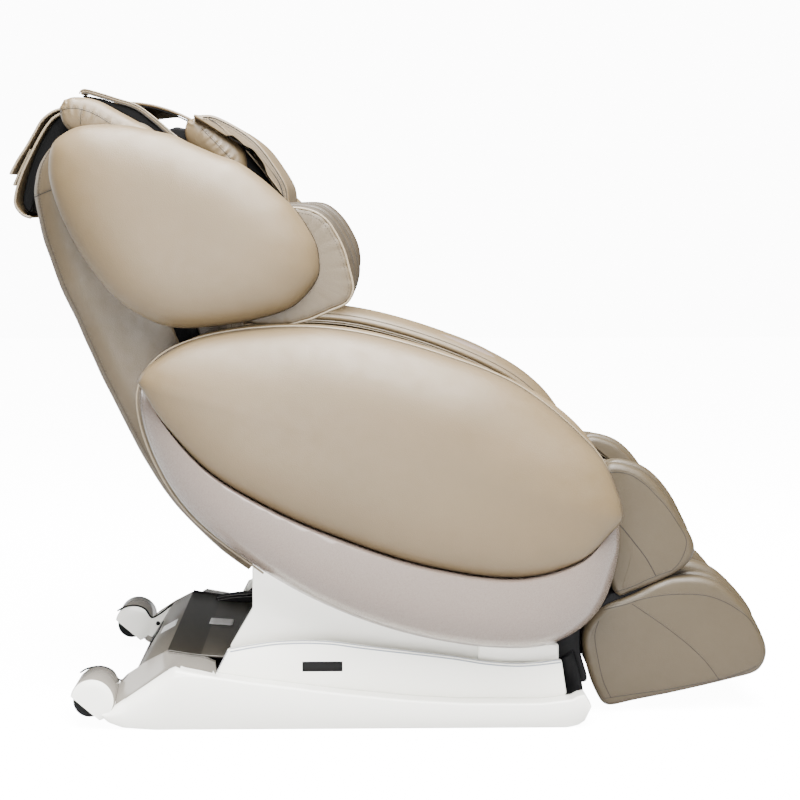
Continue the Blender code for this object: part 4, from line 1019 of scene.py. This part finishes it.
def rear_flap():
    """The flap of leather behind the head: two hanging layers over a near-black slab that stands in for the
    shade beneath them (painted shade), with bound edges.
    """
    layers = (
        ("rear_flap_outer", FLAP_OUTER, 0.165, 0.0042, (0.33, 0.165)),
        ("rear_flap_under", FLAP_UNDER, 0.163, 0.0042, (0.326, 0.24)),
        ("rear_flap_tab", FLAP_TAB, 0.150, 0.0034, (0.30, 0.076)),
    )
    for name, path, reach, thick, flat in layers:
        sheet = strip(name, path, -reach, reach, thick, "back", across=30)
        paint(sheet, LEATHER)
        for label, side in SIDES.items():
            edge = track(path, -0.0002, side * (reach - 0.0004))
            paint(tube(f"{name}_binding_{label}", edge, 0.0026, "back"), PIPING)
    # Near-black slab under the flap: painted shade.
    lining = slab("rear_flap_shadow_fill", [(-0.634, 1.146), (-0.655, 1.130), (-0.680, 1.092), (-0.698, 1.052),
                                       (-0.712, 1.006), (-0.716, 0.976), (-0.704, 0.962), (-0.694, 0.985),
                                       (-0.688, 1.030), (-0.672, 1.062), (-0.645, 1.095), (-0.610, 1.112)],
                  -0.158, 0.158, "back", edge=0.004, crown=0.002)
    paint(lining, SHADOW_BLACK_LEATHER)
    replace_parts(lining, "rear_flap")


# ---------------------------------------------------------------- head pillow
PILLOW = [
    (-0.403, 1.132), (-0.385, 1.1405), (-0.356, 1.137), (-0.325, 1.112), (-0.298, 1.085), (-0.288, 1.062),
    (-0.290, 1.030), (-0.320, 1.020), (-0.360, 1.050), (-0.402, 1.100),
]
COVER_OUTER = [
    (-0.385, 1.141), (-0.367, 1.144), (-0.342, 1.141), (-0.299, 1.119), (-0.263, 1.091), (-0.235, 1.055),
    (-0.210, 1.012), (-0.205, 0.976),
]
COVER_INNER = [
    (-0.214, 0.980), (-0.224, 1.016), (-0.246, 1.048), (-0.271, 1.078), (-0.310, 1.098), (-0.335, 1.123),
    (-0.356, 1.137),
]


PILLOW_CORE = [
    (-0.445, 1.100), (-0.425, 1.122), (-0.398, 1.120), (-0.345, 1.128), (-0.300, 1.098), (-0.262, 1.068),
    (-0.236, 1.030), (-0.220, 0.988), (-0.235, 0.955), (-0.300, 0.980), (-0.360, 1.030),
]


def head_pillow():
    body = slab("pillow_body", PILLOW, -0.193, 0.193, "pillow", edge=0.020, crown=0.005, count=150, across=30,
                puff=0.003)
    line = [(-0.372, 1.120), (-0.335, 1.082), (-0.307, 1.052)]
    for side in (-1, 1):
        gathers(body, side_ring(curve(line, 60), side * 0.192), 0.015, 0.0011, 0.010, seed=side)
        gathers(body, side_ring(curve([(-0.403, 1.125), (-0.396, 1.137), (-0.380, 1.140)], 20),
                                side * 0.185), 0.016, 0.0016, 0.014, seed=side)
    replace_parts(paint(body, LEATHER), "head_pillow")
    for label, side in SIDES.items():
        seam("pillow_seam_" + label, body, line, side, "pillow", stitches=(0.003,), count=60)
    cover_line = curve(COVER_OUTER, 70)
    cover = slab("pillow_cover", np.vstack([cover_line, curve(COVER_INNER, 60)]), -0.197, 0.197,
                 "pillow", edge=0.004, crown=0.001, count=190, across=24, steps=4)
    paint(cover, LEATHER)
    for label, side in SIDES.items():
        for i, (inset_by, finish) in enumerate(((0.0045, SEAM), (0.0085, THREAD))):
            route = track(COVER_OUTER[1:], -inset_by, side * 0.1968)
            if finish is SEAM:
                paint(tube("cover_fold_" + label, route, 0.0007, "pillow"), SEAM)
            else:
                paint(stitch_row("cover_stitches_" + label, route, "pillow"), THREAD)
        binding = track(COVER_INNER, 0.0006, side * 0.1955)
        paint(tube("cover_binding_" + label, binding, 0.0016, "pillow"), SEAM)
    # A near-black core inside the pillow's slot: painted shade of the gap between cover and body.
    core = slab("pillow_shadow_core", PILLOW_CORE, -0.165, 0.165, "pillow", edge=0.006, crown=0.002)
    paint(core, SHADOW_BLACK_LEATHER)
    leaf = [(-0.288, 1.079), (-0.265, 1.052), (-0.243, 1.023), (-0.225, 0.994)]
    for i, (shift, reach) in enumerate(((0.0, 0.186), (0.0085, 0.176))):
        path = [(x + shift, z + shift * 0.8) for x, z in leaf]
        sheet = strip(f"pillow_leaf_{i}", path, -reach, reach, 0.0034, "pillow", across=20, count=30)
        paint(sheet, PIPING)
    pillow_straps()


def pillow_straps():
    """Two leather straps that carry the pillow over the top of the backrest, with near-black sheets beneath
    them as painted shade.
    """
    near = [(-0.594, 1.181), (-0.588, 1.187), (-0.560, 1.180), (-0.531, 1.171), (-0.492, 1.158),
            (-0.460, 1.135), (-0.425, 1.105), (-0.395, 1.083)]
    far = [(-0.594, 1.181), (-0.552, 1.184), (-0.508, 1.180), (-0.468, 1.169), (-0.432, 1.154),
           (-0.400, 1.134)]

    def drop(u, v):
        return -0.028 * v * min(1.0, max(0.0, (0.70 - u) / 0.30))

    strap = strip("pillow_strap_right", near, -0.200, -0.140, 0.0065, "pillow", across=10)
    paint(strap, LEATHER)
    wedge = [(-0.592, 1.179), (-0.560, 1.1745), (-0.531, 1.1655), (-0.492, 1.152), (-0.460, 1.129),
             (-0.425, 1.099), (-0.402, 1.083), (-0.420, 1.078), (-0.455, 1.102), (-0.491, 1.126),
             (-0.526, 1.146), (-0.561, 1.164), (-0.586, 1.174)]
    # Near-black sheet under the strap: painted shade.
    lining = slab("strap_shadow_sheet_right", wedge, -0.197, -0.143, "pillow", edge=0.002, crown=0.0005)
    paint(lining, SHADOW_BLACK_LEATHER)
    for i, (lift, finish) in enumerate(((0.0036, PIPING), (-0.0036, SEAM))):
        paint(tube(f"strap_edge_right_{i}", track(near, lift, -0.1998), 0.0013, "pillow"), finish)
    paint(stitch_row("strap_stitches_right", track(near, 0.0036, -0.1950), "pillow"), THREAD)
    strap = strip("pillow_strap_left", far, 0.120, 0.200, 0.0060, "pillow", lift=drop, across=10)
    paint(strap, LEATHER)
    # Near-black sheet under the strap: painted shade.
    lining = strip("strap_shadow_sheet_left", [(x, z - 0.0058) for x, z in far], 0.121, 0.199, 0.0030, "pillow",
                   lift=drop, across=8)
    paint(lining, SHADOW_BLACK_LEATHER)


# ---------------------------------------------------------------- seat
SEAT_PAD = [
    (-0.232, 0.411), (0.000, 0.411), (0.296, 0.411), (0.316, 0.428), (0.322, 0.445), (0.312, 0.460),
    (0.250, 0.472), (0.050, 0.470), (-0.150, 0.474), (-0.222, 0.468), (-0.236, 0.440),
]


def seat_cushion():
    pad = slab("seat_cushion", SEAT_PAD, -0.246, 0.246, "seat", edge=0.014, crown=0.003, count=170, across=40,
               puff=0.004)
    points = points_of(pad)
    points[:, 2] = np.maximum(points[:, 2], 0.411)
    move_points(pad, points)

    def place(p):
        return p[0], min(1.0, max(0.0, (p[2] - 0.452) / 0.014)), np.array([0, 0, 1.0])

    channels(pad, place, lambda p: p[1], 0.008, 0.006, [-0.150, -0.075, 0.0, 0.075, 0.150, 0.225], [0.118])
    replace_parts(paint(pad, LEATHER_INNER), "seat_cushion")


# ---------------------------------------------------------------- legrest
CALF_SIDE = [
    (0.372, 0.376), (0.384, 0.445), (0.401, 0.478), (0.421, 0.481), (0.443, 0.475), (0.470, 0.462),
    (0.494, 0.441), (0.519, 0.409), (0.541, 0.373), (0.558, 0.346), (0.566, 0.324), (0.564, 0.307),
    (0.554, 0.291), (0.531, 0.273), (0.500, 0.258), (0.473, 0.247), (0.446, 0.237), (0.424, 0.231),
    (0.408, 0.262),
]
CALF_CROWN = [
    (0.396, 0.466), (0.408, 0.469), (0.426, 0.468), (0.446, 0.462), (0.472, 0.444), (0.492, 0.424),
    (0.513, 0.401), (0.533, 0.372), (0.548, 0.347), (0.552, 0.330), (0.547, 0.310), (0.538, 0.292),
    (0.526, 0.279),
]
CALF_SLANT = [(0.402, 0.385), (0.425, 0.365), (0.449, 0.336), (0.470, 0.309), (0.484, 0.287), (0.494, 0.268)]
CALF_HEM = [(0.413, 0.236), (0.423, 0.238), (0.452, 0.248), (0.482, 0.262), (0.508, 0.272), (0.526, 0.278)]
CALF_EDGE = [
    (0.470, 0.462), (0.494, 0.441), (0.519, 0.409), (0.541, 0.373), (0.558, 0.346), (0.566, 0.324),
    (0.564, 0.307), (0.554, 0.291), (0.531, 0.273),
]
FOOT_SIDE = [
    (0.390, 0.196), (0.410, 0.209), (0.454, 0.227), (0.498, 0.249), (0.533, 0.260), (0.577, 0.260),
    (0.613, 0.249), (0.644, 0.226), (0.676, 0.192), (0.694, 0.161), (0.706, 0.133), (0.709, 0.112),
    (0.703, 0.092), (0.687, 0.077), (0.647, 0.066), (0.590, 0.052), (0.523, 0.037), (0.457, 0.024),
    (0.417, 0.015), (0.401, 0.017), (0.390, 0.031), (0.376, 0.063), (0.365, 0.104), (0.360, 0.144),
    (0.372, 0.176),
]
FOOT_CROWN = [
    (0.395, 0.200), (0.409, 0.205), (0.436, 0.212), (0.466, 0.222), (0.509, 0.230), (0.558, 0.232),
    (0.595, 0.228), (0.628, 0.216), (0.659, 0.197), (0.679, 0.179), (0.694, 0.156),
]
FOOT_SLANT = [(0.449, 0.213), (0.489, 0.186), (0.526, 0.159), (0.564, 0.128), (0.594, 0.098), (0.620, 0.063)]
FOOT_HEM = [
    (0.398, 0.027), (0.445, 0.034), (0.512, 0.043), (0.578, 0.055), (0.618, 0.062), (0.665, 0.077),
    (0.692, 0.090),
]
CALF_MID = [
    (0.026, 0.0175), (0.024, 0.075), (0.066, 0.123), (0.125, 0.142), (0.190, 0.141), (0.203, 0.100),
    (0.201, 0.0175), (0.115, 0.0175),
]
FOOT_MID = [
    (0.426, 0.150), (0.430, 0.206), (0.500, 0.240), (0.580, 0.252), (0.650, 0.232), (0.706, 0.180),
    (0.735, 0.132), (0.706, 0.124), (0.570, 0.099), (0.458, 0.080),
]
CALF_WELL = [
    (0.400, 0.400), (0.412, 0.452), (0.446, 0.447), (0.485, 0.418), (0.520, 0.366), (0.540, 0.328),
    (0.534, 0.300), (0.500, 0.280), (0.466, 0.275), (0.430, 0.320),
]
FOOT_WELL = [
    (0.430, 0.150), (0.440, 0.195), (0.500, 0.225), (0.560, 0.235), (0.610, 0.225), (0.655, 0.185),
    (0.680, 0.140), (0.672, 0.118), (0.560, 0.100), (0.460, 0.092),
]


def quilted(name, outline, base, top, body, ridges=4, count=110):
    """A thin padded lining with rings of soft ridges that follow its edge. base and top are y."""
    rim = spline(outline, count)
    rows = [side_ring(shrunk(rim, f), base) for f in (0.3, 0.7)]
    for k in range(61):
        f = k / 60
        rise = 1 - math.exp(-f * 22)
        wave = 0.80 + 0.20 * math.cos(2 * math.pi * ridges * f)
        rows.append(side_ring(shrunk(rim, 1 - 0.90 * f), base + (top - base) * rise * wave))
    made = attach(skin(name, rows), body)
    paint(made, LEATHER_INNER)
    return made


def bolster(name, path, reach, y0, y1, body):
    """A soft ridge of leather that stands out past the edge of a side wall, inside it."""
    line = curve(path, 60)
    out = left_of(line)
    swell = np.sin(np.linspace(0, math.pi, len(line)))[:, None] ** 0.5
    outline = np.vstack([line + out * (reach * swell - 0.002), (line - out * 0.030)[::-1][2:-2]])
    made = slab(name, outline, y0, y1, body, edge=0.010, crown=0.001, count=110)
    paint(made, SHADED_LEG_LEATHER)


CALF_GROWTH = 0.0030
FOOT_GROWTH = 0.0036
GAP_OUTLINE = [
    (0.385, 0.195), (0.410, 0.206), (0.455, 0.225), (0.500, 0.245), (0.515, 0.262), (0.470, 0.250),
    (0.430, 0.236), (0.405, 0.225),
]
HEEL_SEAM = [(0.411, 0.028), (0.396, 0.060), (0.385, 0.104), (0.378, 0.150), (0.385, 0.180)]


def legrest():
    """The two leg wells: calf and foot walls, their linings and pads, the gap between and the dividers."""
    for label, side in SIDES.items():
        wall = inset(spline(CALF_SIDE, 170), -CALF_GROWTH)
        calf = slab("calf_side_" + label, wall, side * 0.2055, side * 0.2480, "calf", edge=0.013, crown=0.002,
                    count=170, steps=8)
        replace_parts(paint(calf, SHADED_LEG_LEATHER), "calf_side_" + label)
        wall = inset(spline(FOOT_SIDE, 190), -FOOT_GROWTH)
        foot = slab("foot_side_" + label, wall, side * 0.2055, side * 0.2500, "foot", edge=0.013, crown=0.002,
                    count=190, steps=8)
        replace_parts(paint(foot, SHADED_LEG_LEATHER), "foot_side_" + label)
        seam("calf_crown_" + label, calf, CALF_CROWN, side, "calf", stitches=(0.0042,))
        seam("calf_slant_" + label, calf, CALF_SLANT, side, "calf", stitches=(), line=0.0012)
        seam("calf_hem_" + label, calf, CALF_HEM, side, "calf", stitches=(0.0045,))
        for part, path, stitch in (("crown", FOOT_CROWN, 0.0042), ("slant", FOOT_SLANT, 0.0045),
                                   ("hem", FOOT_HEM, 0.0042), ("heel", HEEL_SEAM, 0.004)):
            seam(f"foot_{part}_{label}", foot, path, side, "foot", stitches=(stitch,))
        edge = track(CALF_EDGE, -0.0018, side * 0.2340)
        paint(tube("calf_edge_" + label, edge, 0.0036, "calf"), GREY_PIPING_AND_HIGHLIGHT, "leather")
        for i, (reach, y0, y1) in enumerate(((0.0150, 0.174, 0.2050), (0.0075, 0.146, 0.1735))):
            bolster(f"calf_bolster_{label}_{i}", CALF_SIDE[2:11], reach, side * y0, side * y1, "calf")
            bolster(f"foot_bolster_{label}_{i}", FOOT_SIDE[4:11], reach * 0.7, side * y0, side * y1, "foot")
        for part, well in (("calf", CALF_WELL), ("foot", FOOT_WELL)):
            quilted(f"{part}_lining_{label}", well, side * 0.2060, side * 0.1930, part)
            quilted(f"{part}_inner_{label}", well, side * 0.0275, side * 0.0400, part)
        pad = [on_leg(s, d) for s, d in ((0.012, 0.0155), (0.195, 0.0155), (0.200, 0.028), (0.192, 0.038),
                                         (0.100, 0.033), (0.020, 0.038), (0.008, 0.028))]
        calf_pad = slab("calf_pad_" + label, pad, side * 0.0300, side * 0.2030, "calf", edge=0.009,
                        crown=0.001, count=150, across=10)
        points = points_of(calf_pad)
        down = (points[:, 0] - 0.345) * DOWN_THE_LEG[0] + (points[:, 2] - 0.430) * DOWN_THE_LEG[1]
        ahead = (points[:, 0] - 0.345) * -DOWN_THE_LEG[1] + (points[:, 2] - 0.430) * DOWN_THE_LEG[0]
        ridge = 0.0030 * np.sin(down * 2 * math.pi / 0.030) * (ahead > 0.024)
        points[:, 0] -= ridge * DOWN_THE_LEG[1]
        points[:, 2] += ridge * DOWN_THE_LEG[0]
        paint(move_points(calf_pad, points), LEATHER_INNER)
    # A black slab filling the gap between calf and foot walls: painted shade of the gap.
    paint(slab("calf_foot_gap_shadow", GAP_OUTLINE, -0.2340, 0.2340, "calf", edge=0.003, crown=0.001), RUBBER)
    divider = slab("calf_divider", [on_leg(s, d) for s, d in CALF_MID], -0.0275, 0.0275, "calf", edge=0.016,
                   crown=0.001, count=150)
    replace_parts(paint(divider, SHADED_LEG_LEATHER), "calf_divider")
    divider = slab("foot_divider", FOOT_MID, -0.0275, 0.0275, "foot", edge=0.016, crown=0.001, count=150)
    notch = tube("notch", [(0.500, y, 0.079) for y in (-0.1, 0.0, 0.1)], 0.0232, "foot", sides=32)
    notch.parent = None
    carve(divider, notch)
    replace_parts(paint(divider, SHADED_LEG_LEATHER), "foot_divider")
    sole = from_node("foot_base", LEATHER_INNER, bevel=0.005)
    from_node("foot_roller", RUBBER, bevel=0.0015)


# ---------------------------------------------------------------- base
SKIRT_FOLD = (
    (-0.556, -0.545, -0.518, -0.478, -0.437, -0.420, -0.402, -0.345, -0.278, -0.111, 0.010, 0.117, 0.268,
     0.325, 0.343, 0.354, 0.359, 0.360),
    (0.030, 0.037, 0.053, 0.080, 0.108, 0.117, 0.112, 0.101, 0.090, 0.068, 0.055, 0.048, 0.047,
     0.054, 0.064, 0.061, 0.050, 0.042),
)
SKIRT_INNER = (
    (-0.556, -0.540, -0.520, -0.482, -0.444, -0.398, -0.372, -0.350),
    (0.034, 0.062, 0.083, 0.108, 0.1275, 0.1205, 0.1175, 0.1085),
)
SKIRT_FOOT = (
    (-0.556, -0.545, -0.518, -0.458, 0.317, 0.340, 0.354, 0.360),
    (0.026, 0.015, 0.0045, 0.0, 0.0, 0.006, 0.018, 0.038),
)
WHEEL_HUB = (-0.574, 0.0565)


def shade_faces(obj, chosen):
    """Gives the chosen faces a greyer copy of the white plastic: painted shade."""
    obj.data.materials.append(WHITE_SHADE)
    for face in obj.data.polygons:
        if chosen(face):
            face.material_index = 1


def skirt(label, side):
    """The lower side cover, with a broad soft fold and a shelf behind, and a thin ledge along the side."""
    stops = np.unique(np.r_[np.linspace(-0.556, -0.36, 44), -0.3505, -0.3445, np.linspace(-0.335, 0.36, 60)])
    rows = []
    for x in stops:
        fold, low = float(np.interp(x, *SKIRT_FOLD)), float(np.interp(x, *SKIRT_FOOT))
        wide = x < -0.347
        reach = 0.2540 if wide else 0.3065
        inner = float(np.interp(x, *SKIRT_INNER)) if wide else fold
        soft = float(np.interp(x, (-0.556, -0.440, -0.400, -0.330), (0.022, 0.026, 0.010, 0.0045)))
        soft = min(soft, max(0.0015, (fold - low) * 0.45))
        ring = [(reach, low), (0.3475 - 0.002, low), (0.3475, low + 0.002)]
        for k in range(9):
            t = math.radians(90 * k / 8)
            ring.append((0.3475 - soft * (1 - math.cos(t)), fold - soft * (1 - math.sin(t))))
        start = ring[-1][0]
        for k in range(1, 7):
            ring.append((start + (reach + 0.003 - start) * k / 6, fold + (inner - fold) * k / 6))
        ring.append((reach, inner - 0.003))
        rows.append([(x, side * y, max(z, low)) for y, z in ring])
    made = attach(skin("skirt_" + label, rows), "base")
    made.data.set_sharp_from_angle(angle=math.radians(60))
    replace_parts(paint(made, WHITE), "skirt_" + label)
    # The shelf faces behind the fold: painted shade and the painted reflection of the brown rear cover.
    shade_faces(made, lambda face: face.center.x < -0.347 and abs(face.center.y) < 0.3270
                and face.center.z > float(np.interp(face.center.x, *SKIRT_FOLD)) - 0.006)


WHEEL_MOUTH = [(-0.660, 0.100), (-0.612, 0.063), (-0.559, 0.017), (-0.520, -0.050), (-0.660, -0.050)]
WHEEL_ARM = [
    (-0.548, 0.034), (-0.520, 0.022), (-0.490, 0.020), (-0.470, 0.060), (-0.448, 0.119), (-0.484, 0.101),
    (-0.522, 0.073), (-0.545, 0.062),
]
WHEEL_JOINT = [
    (-0.610, 0.085), (-0.595, 0.0935), (-0.570, 0.097), (-0.549, 0.089), (-0.536, 0.071), (-0.522, 0.075),
    (-0.484, 0.102), (-0.448, 0.1235),
]
TYRE_WIDENING = 1.45


def wheel_cover(label, side):
    """The barrel over a transport wheel, cut open below, with an inner plate and a dark joint line."""
    rows = []
    for y, r in ((0.2530, 0.02), (0.2530, 0.0375), (0.2540, 0.0398), (0.2565, 0.0410), (0.3420, 0.0410),
                 (0.3445, 0.0398), (0.3455, 0.0375), (0.3455, 0.02)):
        rows.append([(WHEEL_HUB[0] + r * math.cos(math.radians(5 * k)), side * y,
                      WHEEL_HUB[1] + r * math.sin(math.radians(5 * k))) for k in range(72)])
    barrel = skin("wheel_cover_" + label, rows)
    axis = [(-0.582, side * y, 0.050) for y in (0.264, 0.300, 0.336)]
    pocket = tube("pocket", axis, 0.0352, "base", sides=40)
    mouth = skin("mouth", [side_ring(WHEEL_MOUTH, side * y) for y in (0.20, 0.40)])
    for tool in (pocket, mouth):
        tool.parent = None
    carve(barrel, pocket, mouth)
    barrel.data.set_sharp_from_angle(angle=math.radians(40))
    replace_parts(paint(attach(barrel, "base"), WHITE), "wheel_cover_" + label)
    # The barrel's curved sides: painted shade.
    shade_faces(barrel, lambda face: abs(face.normal.y) < 0.6)
    arm = slab("wheel_arm_" + label, WHEEL_ARM, side * 0.2535, side * 0.2620, "base", edge=0.0015, crown=0.0)
    paint(arm, WHITE)
    joint = track(WHEEL_JOINT, 0.0, side * 0.2530)
    paint(tube("wheel_joint_" + label, joint, 0.0019, "base"), BLACK)
    axis = [(-0.521, side * y, 0.057) for y in (0.2520, 0.2530, 0.2545)]
    paint(tube("wheel_screw_" + label, axis, 0.0046, "base", sides=20), BLACK)
    tyre = from_node("transport_wheel_" + label, RUBBER, bevel=0.002)
    points = points_of(tyre)
    points[:, 1] = side * 0.301 + (points[:, 1] - side * 0.301) * TYRE_WIDENING
    move_points(tyre, points)
    edge = track([(-0.3445, 0.099), (-0.3225, 0.1415)], 0.0, side * 0.3050, count=12)
    paint(tube("side_cover_edge_" + label, edge, 0.0016, "base"), STEEL)


BELLOWS = [
    (-0.392, 0.1180), (-0.350, 0.128), (-0.312, 0.132), (-0.296, 0.142), (-0.284, 0.166), (-0.2795, 0.150),
    (-0.280, 0.114),
]
BELLOWS_CREASE = [(-0.386, 0.119), (-0.350, 0.125), (-0.310, 0.128), (-0.288, 0.140)]
REAR_FACETS = [(-0.532, 0.030), (-0.484, 0.106), (-0.442, 0.129), (-0.379, 0.119), (-0.272, 0.112)]


def rear_end():
    """The rear cover, its facets in three brightnesses of one brown plastic as painted light, its seal, the
    two blank labels and the inlet and switch in it.
    """
    cover = from_node("rear_cover", BROWN, bevel=0.0012)
    cover.data.materials.append(BROWN_LIT_FACET)
    cover.data.materials.append(BROWN_HIGHLIT_FACET)
    # Each facet gets its own brightness: painted light and shade on one brown plastic.
    for face in cover.data.polygons:
        x = face.center.x
        face.material_index = 2 if x < -0.4425 else (0 if x < -0.3795 else 1)
    paint(tube("rear_seal", track(REAR_FACETS[2:], 0.0012, 0.2510, count=40), 0.0022, "base"), BLACK)
    paint(slab("rear_bellows", BELLOWS, 0.205, 0.2505, "base", edge=0.003, crown=0.001), RUBBER)
    # Grey lines along the bellows' creases on the black rubber: painted highlight.
    for i, lift in enumerate((0.0, 0.006)):
        crease = track([(x, z + lift) for x, z in BELLOWS_CREASE], 0.0, 0.2045, count=30)
        paint(tube(f"bellows_crease_highlight_{i}", crease, 0.0012, "base"), GREY_PIPING_AND_HIGHLIGHT, "black_rubber")
    for i, (a, b, y0, y1) in enumerate((((-0.384, 0.1215), (-0.336, 0.1180), -0.016, 0.034),
                                        ((-0.480, 0.1090), (-0.450, 0.1255), -0.045, 0.012))):
        label = strip(f"rear_label_{i}", [a, b], y0, y1, 0.0006, "base", across=6, count=8)
        paint(label, PAPER, "white_plastic")
    from_node("power_inlet", BLACK, bevel=0.0008)
    from_node("power_switch", BLACK, bevel=0.0006)


def plate(name, low, high, inner, outer, body, edge=0.0004, round_by=0.0012):
    """A thin rectangular plate on a side wall, with small rounded corners and a bevelled outer edge."""
    def ring(off, y):
        x0, z0, x1, z1 = low[0] + off, low[1] + off, high[0] - off, high[1] - off
        points = []
        for cx, cz, start in ((x1 - round_by, z1 - round_by, 0), (x0 + round_by, z1 - round_by, 90),
                              (x0 + round_by, z0 + round_by, 180), (x1 - round_by, z0 + round_by, 270)):
            for k in range(4):
                t = math.radians(start + 30 * k)
                points.append((cx + round_by * math.cos(t), y, cz + round_by * math.sin(t)))
        return points
    step = math.copysign(edge, outer - inner)
    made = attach(skin(name, [ring(0.0, inner), ring(0.0, outer - step), ring(edge, outer)]), body)
    made.data.set_sharp_from_angle(angle=math.radians(30))
    return made


LEDGE_WAVE = [
    (-0.319, 0.1415), (-0.262, 0.1515), (-0.212, 0.1565), (-0.136, 0.1555), (-0.060, 0.1455), (0.092, 0.1265),
    (0.168, 0.1145), (0.235, 0.1105), (0.306, 0.1175),
]
BOOT_OUTLINE = [
    (0.298, 0.056), (0.296, 0.120), (0.300, 0.185), (0.325, 0.190), (0.350, 0.185), (0.352, 0.120),
    (0.366, 0.064), (0.350, 0.055), (0.325, 0.052),
]


def base():
    for label, side in SIDES.items():
        skirt(label, side)
        wheel_cover(label, side)
        from_node("side_cover_" + label, WHITE, bevel=0.0032, segments=4)
        from_node("riser_cover_" + label, WHITE, bevel=0.0030, segments=4)
        # Two grey lines along the ledge of the side cover: painted shadow at its edges.
        for part, lift, y, radius in (("line", -0.0030, 0.3064, 0.0013), ("gap", 0.0012, 0.3040, 0.0011)):
            wave = track(LEDGE_WAVE, lift, side * y, count=120)
            paint(tube(f"ledge_{part}_{label}", wave, radius, "base"), LEDGE_SHADOW_GREY, "white_plastic")
        front = plate("riser_front_" + label, (0.150, 0.110), (0.304, 0.146), side * 0.2780, side * 0.2880,
                      "base", edge=0.003, round_by=0.006)
        paint(front, WHITE)
        badge = plate("blank_badge_" + label, (-0.183, 0.0995), (-0.107, 0.1185), side * 0.3058,
                      side * 0.3072, "base")
        paint(badge, BLACK)
    from_node("front_cover", BLACK, bevel=0.004)
    paint(slab("front_boot", BOOT_OUTLINE, -0.2380, 0.2380, "carriage", edge=0.004, crown=0.001), BLACK)
    rear_end()


# ---------------------------------------------------------------- build
dress_frame()
studio()
arms()
head_sides()
back_shell()
back_cushions()
rear_flap()
head_pillow()
seat_cushion()
legrest()
base()
